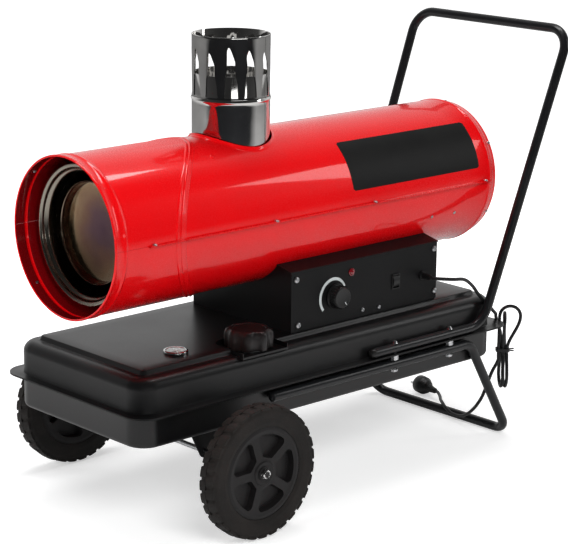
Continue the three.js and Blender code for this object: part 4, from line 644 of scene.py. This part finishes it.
collar_section = [(76.9, -1.2), (76.9, 4.4), (77.3, 5), (78.0, 5), (78.4, 4.5), (78.6, 2.6), (79.4, 1.2),
                  (80.8, 0.4), (83, 0.05), (83, -1.2)]
collar = skin([[on_drum(r, TAU * i / 96, lift) for r, lift in collar_section] for i in range(96)],
              loop=True)
flue_hole = moved(revolve([(0, 610), (77.0, 610), (77.0, 760), (0, 760)], 96, "z"), FLUE_X)
upper_main = carve(half_tube(main_profile(), True, -10), flue_hole)
parts = [upper_main, collar, *flange_strips(JOINT_SIDE + 1, 962, True, DRUM - 0.7)]
dress("drum_upper_shell", together(*parts), RED)
parts = [half_tube(main_profile(), False, -10), *flange_strips(JOINT_SIDE + 1, 962, False, DRUM - 0.7)]
dress("drum_lower_shell", together(*parts), RED)

# ---------------------------------------------------------------- chimney

FLAME = [(-13, 0), (-11.8, 0.12), (-11.4, 0.26), (-10.6, 0.42), (-8.2, 0.56), (-7.6, 0.70), (-8.8, 0.84),
         (-7.6, 0.94), (-4.2, 1.0), (-0.6, 0.95), (2.6, 0.86), (6.2, 0.75), (7.6, 0.66), (7.6, 0.56),
         (9.2, 0.42), (12, 0.22), (13.4, 0)]
FLAME_TURN = -131.3
WINDOWS, WINDOW_BASE, WINDOW_HEIGHT = 12, 758, 94


def flame(index):
    height = WINDOW_HEIGHT - (index % 3) * 6
    outline = [(p.x, p.y * height) for p in smooth_path([(a, b, 0) for a, b in FLAME], 3)]
    middle = rad(FLAME_TURN) + index * TAU / WINDOWS
    rings = [[(r * math.cos(middle + a / FLUE_R), r * math.sin(middle + a / FLUE_R), WINDOW_BASE + h)
              for a, h in outline] for r in (62, 86)]
    return moved(skin(rings), FLUE_X)


BEAD = (-8, -5, -3.4, -2.2, -1.1, 0, 1.1, 2.2, 3.4, 5, 8)
bead = [(FLUE_R + 1.8 * math.exp(-((h / 2.4) ** 2)), 750 + h) for h in BEAD]
cowl_wall = [(72.5, 664), (FLUE_R, 664), *bead, (FLUE_R, 866), (FLUE_R + 0.2, 869.4), (FLUE_R, 870),
             (72.9, 870), (72.5, 869), (72.5, 758), (72.9, 750), (72.5, 742)]
chimney = carve(moved(revolve(cowl_wall, 144, "z"), FLUE_X), *[flame(i) for i in range(WINDOWS)])
dress("chimney_cowl", chimney, POLISHED, sharp=30)
spigot = [(71.0, 664), (72.2, 664), (72.2, 796.6), (71.8, 798), (71.3, 798), (71.0, 797)]
dress("flue_spigot", moved(revolve(spigot, 144, "z"), FLUE_X), POLISHED)

# ---------------------------------------------------------------- heat exchanger and chamber

JACKET = [(114, 54), (114.4, 51.5), (115.8, 49.4), (117.5, 48.4), (119.4, 47.2), (120.4, 45), (120.8, 42.4),
          (121.8, 40), (123.5, 38.6), (126, 38), (128, 38.1), (128.8, 38.9), (129, 41), (129, 60),
          (128.4, 62.5), (129, 65), (129, 600), (114, 600)]
jacket = revolve(JACKET, 128, "x")
hollow = revolve([(115.5, 60), (127.5, 60), (127.5, 598.5), (115.5, 598.5)], 64, "x")
flue_bore = moved(revolve([(0, 116.5), (68.9, 116.5), (68.9, 150), (0, 150)], 64, "z"), FLUE_X)
dress("heat_exchanger", moved(carve(jacket, hollow, flue_bore), z=AXIS_Z), HEATED)
dish = [(90.7 * k / 10, 89 - 8 * (k / 10) ** 2) for k in range(11)]
SHELL = [(0, 91), *dish, (91.2, 78), (91.5, 70), (91.7, 66), (92.3, 64), (93.3, 63), (94.4, 63.3),
         (95, 64.6), (95, 76), (94.2, 78.4), (93.5, 80), (94.2, 81.6), (95, 84), (95, 575), (46.3, 575),
         (46.3, 573.5), (93.5, 573.5), (93.5, 95), (60, 95)]
face = [(0, 88.96), *[(r, x - 0.04) for r, x in dish[:-1]], (90.2, 80.9), (90.2, 80.95),
        *[(r, x + 0.03) for r, x in reversed(dish[:-1])]]
dress("combustion_chamber", moved(revolve(SHELL, 128, "x"), z=AXIS_Z), HEATED)
place("chamber_disc_face", moved(revolve(face, 128, "x"), z=AXIS_Z), DISC)

# ---------------------------------------------------------------- tank

FILLER = (316, -140)
GAUGE = (173, -101)
SEAT = (262, 370, -92)


def rectangle(inset, z, x0=21.0, x1=952.0, half=187.0, corner=42.0, steps=16, straight=10):
    """A round-cornered rectangle at height z, with points along its straight sides too."""
    x0, x1, half, r = x0 + inset, x1 - inset, half - inset, max(corner - inset, 4)
    points = []
    centres = [(x1 - r, half - r), (x0 + r, half - r), (x0 + r, -half + r), (x1 - r, -half + r)]
    for quarter, (cx, cy) in enumerate(centres):
        arc = [(cx + r * math.cos(a), cy + r * math.sin(a)) for a in
               [(quarter + i / steps) * math.pi / 2 for i in range(steps + 1)]]
        points += arc
        nx, ny = centres[(quarter + 1) % 4]
        end = (nx + r * math.cos((quarter + 1) * math.pi / 2),
               ny + r * math.sin((quarter + 1) * math.pi / 2))
        points += [(arc[-1][0] + (end[0] - arc[-1][0]) * i / straight,
                    arc[-1][1] + (end[1] - arc[-1][1]) * i / straight) for i in range(1, straight)]
    return [(x, y, z) for x, y in points]


def flange(z, grow=0.0):
    return rectangle(-grow, z, 3, 980, 209, 44)


def round_over(radius, wall, side, steps=8):
    return [(radius * (1 - math.cos(rad(90 * i / steps))),
             wall + side * radius * math.sin(rad(90 * i / steps))) for i in range(steps + 1)]


SHOULDER = [*round_over(20, 288, 1), (24, 308.05), (28.5, 308.2), (30.2, 308.9), (31.4, 310.6),
            (32.2, 312.8), (33.2, 315.2), (34.6, 316.6), (36.4, 317), (60, 317)]
FLANGE_LOW = 245.15
flange_edge = [flange(FLANGE_LOW, -0.4), flange(FLANGE_LOW + 0.3), flange(FLANGE_LOW + 1.2),
               flange(FLANGE_LOW + 1.5, -0.4)]
foot = [rectangle(-2.2, FLANGE_LOW + 1.5), rectangle(-0.7, FLANGE_LOW + 2.1),
        rectangle(0, FLANGE_LOW + 3.8)]
inner_top = [rectangle(inset + 1.5, z - 1.5) for inset, z in reversed(SHOULDER[::3])]
upper_tank = skin([*inner_top, rectangle(1.5, FLANGE_LOW), *flange_edge, *foot,
                   *[rectangle(i, z) for i, z in SHOULDER]])


def prism(outline, z0, z1):
    return skin([[(p[0], p[1], z) for p in outline] for z in (z0, z1)])


def seat(grow, reach):
    x0, x1, back = SEAT[0] - grow, SEAT[1] + grow, SEAT[2] + grow
    return rounded([(x0, -187 - reach), (x1, -187 - reach), (x1, back), (x0, back)], [0, 0, 26, 26], 10)


upper_tank = carve(upper_tank, prism(seat(1.5, -0.3), 304, 316.2), how="UNION")
filler_hole = moved(revolve([(0, 280), (31, 280), (31, 340), (0, 340)], 48, "z"), *FILLER)
gauge_hole = moved(revolve([(0, 300), (17.5, 300), (17.5, 340), (0, 340)], 48, "z"), *GAUGE)
upper_tank = carve(upper_tank, prism(seat(0, 20), 308.02, 340), filler_hole, gauge_hole)
dress("tank_upper_shell", upper_tank, TANK, sharp=30)

BELLY = round_over(10, 191, -1)
FLANGE_HIGH = 244.85
low_edge = [flange(FLANGE_HIGH - 1.5, -0.4), flange(FLANGE_HIGH - 1.2), flange(FLANGE_HIGH - 0.3),
            flange(FLANGE_HIGH, -0.4)]
lower_tank = skin([*[rectangle(i, z) for i, z in reversed(BELLY)], rectangle(0, FLANGE_HIGH - 3.6),
                   rectangle(-0.8, FLANGE_HIGH - 2.1), rectangle(-2.2, FLANGE_HIGH - 1.5), *low_edge,
                   rectangle(1.5, FLANGE_HIGH), *[rectangle(i + 1.5, z + 1.5) for i, z in BELLY[::3]]])
dress("tank_lower_shell", lower_tank, TANK, sharp=30)

# ---------------------------------------------------------------- filler cap and gauge

LOBES, CAP_R = 8, 46.0


def cap_ring(inset, z, depth=1.0, count=160):
    ring = []
    for i in range(count):
        a = TAU * i / count
        wave = math.cos(LOBES * a)
        r = CAP_R - inset - depth * 2.6 * (1 - (abs(wave) ** 0.7) * (1 if wave > 0 else -1))
        ring.append((r * math.cos(a), r * math.sin(a), z))
    return ring


def plain_ring(r, z, count=160):
    return [(r * math.cos(TAU * i / count), r * math.sin(TAU * i / count), z) for i in range(count)]


CAP_FOOT = ((2, 331.3), (38, 331.3), (38, 311.4))
CAP_SIDE = ((0.6, 311), (0, 311.8), (0, 333), (0.6, 338), (2.0, 341.5), (4.2, 344.2), (7.2, 345.7, 0.8),
            (10, 346, 0.5))
CAP_TOP = ((33, 345.9), (31.5, 345.2), (31, 344.4), (12, 343.8), (2, 343.6))
cap_rings = [*[plain_ring(*at) for at in CAP_FOOT], *[cap_ring(*at) for at in CAP_SIDE],
             *[plain_ring(*at) for at in CAP_TOP]]
dress("fuel_filler_cap", moved(skin(cap_rings), *FILLER), CAP, "cap", sharp=40)
neck = [(26.5, 284), (30, 284), (30, 308.3), (36, 308.3), (36, 309.6), (35.4, 310.1), (30.6, 310.1),
        (30, 310.6), (30, 330.4), (29.4, 331), (28.9, 331), (28.5, 330.5), (28.5, 326), (26.5, 326)]
dress("filler_neck", moved(revolve(neck, 64, "z"), *FILLER), ALLOY)
polish("filler_strainer", BRASS)

bezel = [(0, 184), (2.5, 184), (2.5, 303.3), (17.2, 303.3), (17.2, 317.3), (22.4, 317.3), (23, 317.9),
         (23, 320.2), (22.4, 321.6), (21.2, 322.3), (19, 322.3), (18.0, 321.6), (17.5, 320.4),
         (17.5, 318.8), (0, 318.8)]
dress("fuel_gauge_body", moved(revolve(bezel, 72, "z"), *GAUGE), CHROME)
polish("fuel_gauge_dial", DIAL)
polish("fuel_gauge_pointer", LENS, "pointer")
polish("fuel_gauge_float", DIAL, "float")
ticks = []
for k in range(9):
    wide = 1.0 if k % 4 == 0 else 0.5
    bar = box(13.2 if k % 4 == 0 else 14.2, 16.6, -wide / 2, wide / 2, 319.72, 319.8)
    ticks.append(moved(bar, *GAUGE, 0, ("Z", 180 * k / 8)))
place("fuel_gauge_ticks", together(*ticks), PLASTIC)
glass = Paint("gauge_glass").set(Base_Color=(0.95, 0.97, 0.97, 1), Transmission_Weight=1.0, IOR=1.45)
glass.set(Roughness=glass.spread(glass.noise(300), 0.01, 0.05),
          Normal=glass.bump(glass.noise(40), 0.01, 0.0002))
window = revolve([(0, 322.4), (9, 322.2), (17.2, 321.6), (17.2, 321.1), (9, 321.6), (0, 321.8)], 64, "z")
place("fuel_gauge_window", moved(window, *GAUGE), glass.material)
polish("tank_drain_plug", ZINC, bevel=0.4)

# ---------------------------------------------------------------- wheels

WHEEL_X, WHEEL_R, TRACK = 219, 125.0, 275.0
TYRE = [(86.3, -16.5), (88, -17.4), (91, -17.9), (93, -18.9), (95, -19.2), (97, -19.0), (104, -19.5),
        (110, -19.3), (112, -19.5), (114, -18.9), (117.5, -17.6), (120.6, -15.4), (122.2, -11.5)]
TYRE = TYRE + [(r, -y) for r, y in reversed(TYRE)]


def tread_block(middle, half, y0, y1):
    """One lug: a slanted piece of ring with chamfered edges that stands on the carcass."""
    rings = []
    for y, slant in ((y0, -1), (y1, 1)):
        shift = slant * 1.2
        spread = [(-1, 118), (-1, 123.6), (-0.78, 124.9), (0, 125.0), (0.78, 124.9), (1, 123.6), (1, 118)]
        rings.append([turned("y", r if abs(y) < 15 or r < 120 else r - 2.4, y,
                             rad(middle + shift + share * half)) for share, r in spread])
    return skin(rings)


LUGS = 30
lugs = []
for i in range(LUGS):
    step = 360 / LUGS
    lugs.append(tread_block(i * step, 4.7, -18.0, -0.6))
    lugs.append(tread_block((i + 0.5) * step, 4.7, 0.6, 18.0))
tyre_mesh = together(revolve(TYRE, 144, "y"), *lugs)

HUB_SHAPE = [(5.3, -19.5), (12.5, -19.5), (13.2, -18.8), (13.4, -17.2), (15, -16.9), (20, -18.6),
             (21.4, -18.4), (23.4, -16.2), (28, -15.6), (70, -15.9), (76, -16.2), (79, -17.0), (81, -17.2),
             (83, -16.4), (85.2, -16.3), (86, -15.6)]
HUB_SHAPE = HUB_SHAPE + [(r, -y) for r, y in reversed(HUB_SHAPE)]


def pocket(index, side):
    middle = (index + 0.5) * 72

    def edge(r, s, web):
        return rad(middle) + s * (rad(36) - math.asin(web / r))

    def outline(web, low, high, radius):
        corners = [(low * math.cos(edge(low, s, web)), low * math.sin(edge(low, s, web))) for s in (-1, 1)]
        arc = []
        for k in range(9):
            a = edge(high, 1, web) + (edge(high, -1, web) - edge(high, 1, web)) * k / 8
            arc.append((high * math.cos(a), high * math.sin(a)))
        return rounded([*corners, *arc], [4, 4, radius, *[0] * 7, radius], 6)

    top, low = outline(8, 31, 73, 9), outline(10, 33, 71, 8)
    return skin([[(p.x, side * 22, p.y) for p in top], [(p.x, side * 15.0, p.y) for p in top],
                 [(p.x, side * 3.2, p.y) for p in low]])


hub_mesh = carve(revolve(HUB_SHAPE, 128, "y"), *[pocket(i, side) for i in range(5) for side in (-1, 1)])
CAP_SHAPE = [(5.1, 19.8), (9, 19.8), (9, 20.6), (8.9, 22.6), (8.5, 24.6), (7.8, 25.8), (6.9, 26.3),
             (6.0, 25.9), (5.4, 24.9), (5.2, 24.2), (0, 24.1), (0, 22.8), (5.1, 22.8)]
for word, side, body in (("near", -1, "wheel_near"), ("far", 1, "wheel_far")):
    where = (WHEEL_X, side * TRACK, WHEEL_R)
    half_turn = ("Z", 0 if side > 0 else 180)
    dress("tyre_" + word, moved(tyre_mesh.copy(), *where, turn=half_turn), RUBBER, body)
    dress("wheel_hub_" + word, moved(hub_mesh.copy(), *where, turn=half_turn), HUB, body, sharp=30)
    prongs = [moved(box(7.4, 9.4, 20.0, 20.9, -1.6, 1.6, 0.2), turn=("Y", 45 * k)) for k in range(8)]
    cap_mesh = together(revolve(CAP_SHAPE, 48, "y"), *prongs)
    dress("wheel_cap_" + word, moved(cap_mesh, *where, turn=half_turn), CHROME, "base", "zinc")
    dot = revolve([(0, 24.0), (5.1, 24.1), (5.1, 24.35), (0, 24.3)], 32, "y")
    place("wheel_cap_centre_" + word, moved(dot, *where, turn=half_turn), PLASTIC, "base", "zinc")
polish("axle", ZINC)
for word in ("near", "far"):
    polish("axle_bracket_" + word, BOX, bevel=0.5)

# ---------------------------------------------------------------- handle and stand

TUBE = 9.5


def both_sides(corners):
    return corners + [(x, -y, z) for x, y, z in reversed(corners)]


HANDLE_Z = 256.45
TOP_X = 897 + 0.38 * (837 - HANDLE_Z)
handle_run = bent_run(both_sides([(589, -199, HANDLE_Z), (897, -199, HANDLE_Z), (TOP_X, -212, 837)]),
                      [60, 46, 46, 60])
dress("handle_tube", sweep(handle_run, TUBE, 28), TUBING, sharp=50)
stand_run = bent_run(both_sides([(322, -198, 224), (862, -198, 224), (994, -191, TUBE)]), [36, 34, 34, 36])
noses = [moved(revolve([(0, -4), (3.4, -3.8), (6.4, -2.8), (8.4, -1.2), (9.3, 0.8), (9.5, 3), (9.5, 8),
                        (0, 8)], 28, "x"), 322, side * 198, 224) for side in (-1, 1)]
dress("stand_tube", together(sweep(stand_run, TUBE, 28), *noses), TUBING, sharp=50)
for word, side in (("near", -1), ("far", 1)):
    tip = [(0, -13), (3, -12.7), (5.6, -11.6), (7.7, -9.8), (9, -7.2), (9.5, -4), (9.5, -0.3), (0, -0.3)]
    dress("handle_plug_" + word, moved(revolve(tip, 28, "x"), 589, side * 199, HANDLE_Z), PLASTIC,
          slot="tyre_rubber")
    for number in (1, 2):
        polish(f"frame_bolt_{word}_{number}", ZINC)

# ---------------------------------------------------------------- support box, panel and controls

polish("support_box", BOX, bevel=0.7)
polish("control_panel", BOX, bevel=0.45)
PANEL = -151.3
KNOB = Vector((527, PANEL - 1.5, 372))
knob_shape = [(0, 14), (3, 14), (3, 0), (23.9, 0), (24.5, -0.6), (24.5, -2.4), (23.6, -3.4), (22.4, -4.4),
              (21.9, -6), (21.2, -16.5), (20.6, -18.6), (19.2, -19.8), (17.4, -20), (16.6, -19.6),
              (15.8, -19.3), (0, -19.3)]
ridges = [moved(box(-0.9, 0.9, -18.2, -4.2, 19.6, 22.8, 0.5), turn=("Y", 15 * k)) for k in range(24)]
dress("thermostat_knob", moved(together(revolve(knob_shape, 72, "y"), *ridges), *KNOB), PLASTIC, "knob")
mark = moved(box(11, 18.8, -20.02, -19.0, -0.9, 0.9, 0.3), turn=("Y", 57))
place("knob_mark", moved(mark, *KNOB), WHITE, "knob")
polish("thermostat_body", PLASTIC, bevel=0.5)


def arc_band(stops, half_widths, y, thick, count=60):
    """A flat printed arc on the panel: stops are (degrees, radius), with half widths to match."""
    rings = []
    for i in range(count + 1):
        t = (len(stops) - 1) * i / count
        k = min(int(t), len(stops) - 2)
        share = t - k
        angle, radius = (stops[k][n] * (1 - share) + stops[k + 1][n] * share for n in (0, 1))
        half = half_widths[k] * (1 - share) + half_widths[k + 1] * share
        c, s = math.cos(rad(angle)), math.sin(rad(angle))
        outer, inner = radius + half, radius - half
        rings.append([(outer * c, y, outer * s), (inner * c, y, inner * s),
                      (inner * c, y - thick, inner * s), (outer * c, y - thick, outer * s)])
    return skin(rings)


scale = arc_band([(217, 39.5), (194, 40.0), (171, 39.5), (148, 38.2), (125, 36.8), (101, 34.8), (78, 32.6),
                  (55, 30.4), (32, 28.6)], [2.6, 2.9, 3.0, 3.0, 3.0, 3.0, 2.8, 2.4, 1.9], 0, 0.18)
place("thermostat_scale", moved(scale, KNOB.x, PANEL - 0.02, KNOB.z), WHITE)
polish("indicator_lamp", LENS)
polish("rocker_frame", PLASTIC, bevel=0.4)
polish("rocker_button", PLASTIC, "rocker", bevel=0.5)
polish("cable_gland", PLASTIC, bevel=0.3)

# ---------------------------------------------------------------- screws


def pan_head(radius, height):
    """A screw head with a cross recess, its axis along z and its seat at z = 0."""
    steps = 7
    dome = [(radius * math.cos(rad(90 * i / steps)) ** 0.7 if i < steps else 0,
             0.25 * height + 0.75 * height * math.sin(rad(90 * i / steps))) for i in range(steps + 1)]
    head = revolve([(0, -0.6), (radius, -0.6), *dome], 24, "z")
    thin, wide = radius * 0.13, radius * 0.56
    arms = [box(-w, w, -l, l, height * 0.45, height * 2) for w, l in ((thin, wide), (wide, thin))]
    return carve(head, *arms)


def screws(name, template, places, material):
    """Copies of a head at (point, outward direction, turn) places, as one piece."""
    parts = []
    for point, way, turn in places:
        copy = template.copy()
        turned_to = Vector((0, 0, 1)).rotation_difference(Vector(way).normalized()).to_matrix().to_4x4()
        copy.transform(Matrix.Translation(point) @ turned_to @ Matrix.Rotation(rad(turn), 4, "Z"))
        parts.append(copy)
    return place(name, together(*parts), material, sharp=40)


def round_drum(x, angle, radius):
    """A place on the drum and its outward way; the angle is from -y upwards, over the top to +y."""
    way = Vector((0, -math.cos(rad(angle)), math.sin(rad(angle))))
    return Vector((x, 0, AXIS_Z)) + way * radius, way


big, small = pan_head(6.0, 3.4), pan_head(4.2, 2.6)
corner_places = [(425, 420), (430, 331), (799, 422), (803, 335)]
middle_places = [(601, 331), (646, 329)]
screws("panel_screws", big, [((x, PANEL, z), (0, -1, 0), 17 * i) for i, (x, z) in enumerate(corner_places)],
       ZINC)
screws("panel_screws_small", small, [((x, PANEL, z), (0, -1, 0), 31 * i)
                                     for i, (x, z) in enumerate(middle_places, 4)], ZINC)
seam = [((x, side * 149.6, AXIS_Z + 1.65), (0, 0, 1), 23 * i) for i, x in enumerate((86, 375, 632, 948))
        for side in (-1, 1)]
screws("seam_screws", pan_head(4.6, 2.8), seam, ZINC)
rim = [(*round_drum(15, a, 146.9), 15 * i) for i, a in enumerate((45, 135, 225, 315))]
screws("front_rim_screws", pan_head(3.4, 0.6), rim, RED)
inside = [(*round_drum(15, a, 145.9), 15 * i) for i, a in enumerate((45, 135, 225, 315))]
screws("front_rim_screw_ends", pan_head(3.2, 2.4), [(p, -w, t) for p, w, t in inside], ZINC)
back = [(*round_drum(983, a, 141.9), 20 * i) for i, a in enumerate((30, 90, 150, 210, 270, 330))]
screws("rear_rim_screws", pan_head(3.4, 2.2), back, ZINC)
low_places = ((808, -131, 484), (874, -131, 483), (808, 131, 484), (874, 131, 483))
lower = [((x, *((Vector((0, y, z - AXIS_Z)).normalized() * DRUM) + Vector((0, 0, AXIS_Z)))[1:]),
          (0, y, z - AXIS_Z), 10) for x, y, z in low_places]
screws("lower_shell_screws", pan_head(3.4, 2.0), lower, ZINC)
saddle = [(Vector((x, y, AXIS_Z + math.sqrt(DRUM ** 2 - y * y))), (0, y, 140), 12)
          for x, y in ((324, -37), (324, 37), (280, -77), (280, 77))]
screws("saddle_screws", pan_head(4.0, 2.2), saddle, RED)

# ---------------------------------------------------------------- bare label on the drum


def drum_patch(x0, x1, low, high, radius, thick, corner=0.0, rows=28):
    """A thin sheet laid on the near upper side of the drum, between two angles above the seam."""
    start, end = rad(low) * radius, rad(high) * radius
    rings = []
    for i in range(rows + 1):
        s = start + (end - start) * i / rows
        d = min(s - start, end - s)
        trim = corner - math.sqrt(max(corner ** 2 - (corner - d) ** 2, 0)) if d < corner else 0.0
        a = s / radius
        ring = []
        for lift in (0, thick):
            for k in range(9) if lift == 0 else reversed(range(9)):
                x = x0 + trim + (x1 - x0 - 2 * trim) * k / 8
                ring.append((x, -(radius + lift) * math.cos(a), AXIS_Z + (radius + lift) * math.sin(a)))
        rings.append(ring)
    return skin(rings)


LABEL = (580, 935, 11.5, 52)
place("drum_label", drum_patch(*LABEL, DRUM + 0.05, 0.25, 5), VINYL)

# ---------------------------------------------------------------- inlet guard, fan and the inner works

GUARD_X, GUARD_IN, GUARD_OUT, WIRE = 981, 28, 137.4, 1.5
rings = []
for k in range(9):
    r = GUARD_IN + (GUARD_OUT - GUARD_IN) * k / 8
    wire = [(r + WIRE * math.cos(TAU * i / 8), GUARD_X + WIRE * math.sin(TAU * i / 8)) for i in range(8)]
    rings.append(revolve(wire, 96, "x"))
spokes = [moved(revolve([(0, -137.5), (1.9, -137.5), (1.9, 137.5), (0, 137.5)], 12, "z"), 979.4,
                turn=("X", 45 * k + 22.5)) for k in range(4)]
clamp = revolve([(0, 979), (21.4, 979), (22, 979.5), (22, 981.4), (21.2, 982), (8, 982), (7, 983),
                 (0, 983)], 64, "x")
dress("inlet_guard", moved(together(clamp, *rings, *spokes), z=AXIS_Z), TUBING, sharp=45)
polish("fan_impeller", ALLOY, "fan", sharp=42)
polish("motor_shaft", ZINC, "fan")
polish("fan_motor", ALLOY, sharp=42)
polish("motor_bracket", ZINC)
polish("fuel_pump", ALLOY, sharp=42)
polish("fuel_supply_line", BRASS, sharp=50)
polish("burner_tube", HEATED, sharp=42)
polish("swirl_plate", HEATED)
polish("burner_nozzle", BRASS, sharp=42)
polish("ignition_transformer", BOX, bevel=0.4)
polish("control_board", BOARD, bevel=0.2)

# ---------------------------------------------------------------- floor, light and background

floor_mesh = bpy.data.meshes.new("floor")
floor_mesh.from_pydata([(-30, -30, 0), (30, -30, 0), (30, 30, 0), (-30, 30, 0)], [], [(0, 1, 2, 3)])
floor = linked("floor", floor_mesh)
ground = Paint("studio_floor")
grain = ground.noise(3, 2)
path = ground.add("ShaderNodeLightPath")
front = ground.add("ShaderNodeVectorMath", {"operation": "DOT_PRODUCT"})
ground.feed(front.inputs[0], ground.point)
front.inputs[1].default_value = (-0.66, -0.75, 0)
ahead = ground.spread(front.outputs["Value"], 0, 1, 0.9, 2.2)
away = ground.math("MULTIPLY", path.outputs["Is Glossy Ray"], ahead)
pale = ground.ramp(grain, [(0.3, (0.80, 0.80, 0.80)), (0.7, (0.83, 0.83, 0.83))])
tone = ground.add("ShaderNodeMix", {"data_type": "RGBA"})
for place_in, value in ((tone.inputs["Factor"], away), (tone.inputs[6], pale),
                        (tone.inputs[7], (0.02, 0.021, 0.024, 1))):
    ground.feed(place_in, value)
ground.set(Base_Color=tone.outputs[2], Roughness=0.9)
seen = ground.math("MAXIMUM", path.outputs["Is Camera Ray"], path.outputs["Is Transmission Ray"])
spot = ground.add("ShaderNodeSeparateXYZ", Vector=ground.point)
reach = ground.math("SQRT", ground.math("ADD", ground.math("POWER", spot.outputs[0], 2.0),
                                        ground.math("POWER", spot.outputs[1], 2.0)))
glow = ground.math("MULTIPLY", seen, ground.spread(reach, 0.46, 1.0, 0.45, 1.4))
ground.set(Emission_Color=(1, 1, 1, 1), Emission_Strength=glow)
floor_mesh.materials.append(ground.material)

world = bpy.data.worlds.new("studio")
bpy.context.scene.world = world
world.use_nodes = True
world.node_tree.nodes.clear()
sky = Nodes(world.node_tree)
way = sky.add("ShaderNodeVectorMath", {"operation": "DOT_PRODUCT"})
sky.feed(way.inputs[0], sky.add("ShaderNodeTexCoord").outputs["Generated"])
sky.feed(way.inputs[1], (0.66, 0.71, -0.45))
half = sky.add("ShaderNodeMath", {"operation": "MULTIPLY_ADD"})
for socket, value in zip(half.inputs, (way.outputs["Value"], 0.5, 0.5)):
    sky.feed(socket, value)
room = sky.add("ShaderNodeValToRGB", Fac=half.outputs[0])
stops = room.color_ramp.elements
points = [stops[0], stops[1], stops.new(0.5), stops.new(0.7)]
for point, (spot, shade) in zip(points, [(0.0, 0.03), (1.0, 1.25), (0.45, 0.07), (0.72, 0.80)]):
    point.position = spot
    point.color = (shade, shade, shade, 1)
behind = sky.add("ShaderNodeBackground", Color=room.outputs[0], Strength=0.85)
white = sky.add("ShaderNodeBackground", Color=(1, 1, 1, 1), Strength=1.0)
mix = sky.add("ShaderNodeMixShader", Fac=sky.add("ShaderNodeLightPath").outputs["Is Camera Ray"])
sky.feed(mix.inputs[1], behind.outputs[0])
sky.feed(mix.inputs[2], white.outputs[0])
sky.add("ShaderNodeOutputWorld", Surface=mix.outputs[0])


def softbox(name, place_at, look_at, width, height, power, mirrored=True):
    data = bpy.data.lights.new(name, "AREA")
    data.shape = "RECTANGLE"
    data.size, data.size_y = width, height
    data.energy = power
    light = linked(name, data)
    light.location = place_at
    light.visible_glossy = mirrored
    light.rotation_mode = "QUATERNION"
    light.rotation_quaternion = (Vector(look_at) - Vector(place_at)).to_track_quat("-Z", "Y")


softbox("key", (-1.6, -3.4, 2.9), (0, 0, 0.4), 2.4, 1.6, 120, False)
softbox("fill", (-3.6, 0.2, 1.6), (0, 0, 0.4), 1.6, 2.0, 55, False)
softbox("top", (0.3, 0.5, 3.2), (0, 0, 0.4), 2.6, 0.6, 42)
softbox("back", (2.6, -2.2, 1.9), (0.2, 0, 0.4), 0.5, 1.8, 12)
softbox("strip", (-1.2, -3.4, 0.9), (0, 0, 0.5), 3.0, 0.22, 5)

bpy.context.scene.view_settings.view_transform = "Standard"
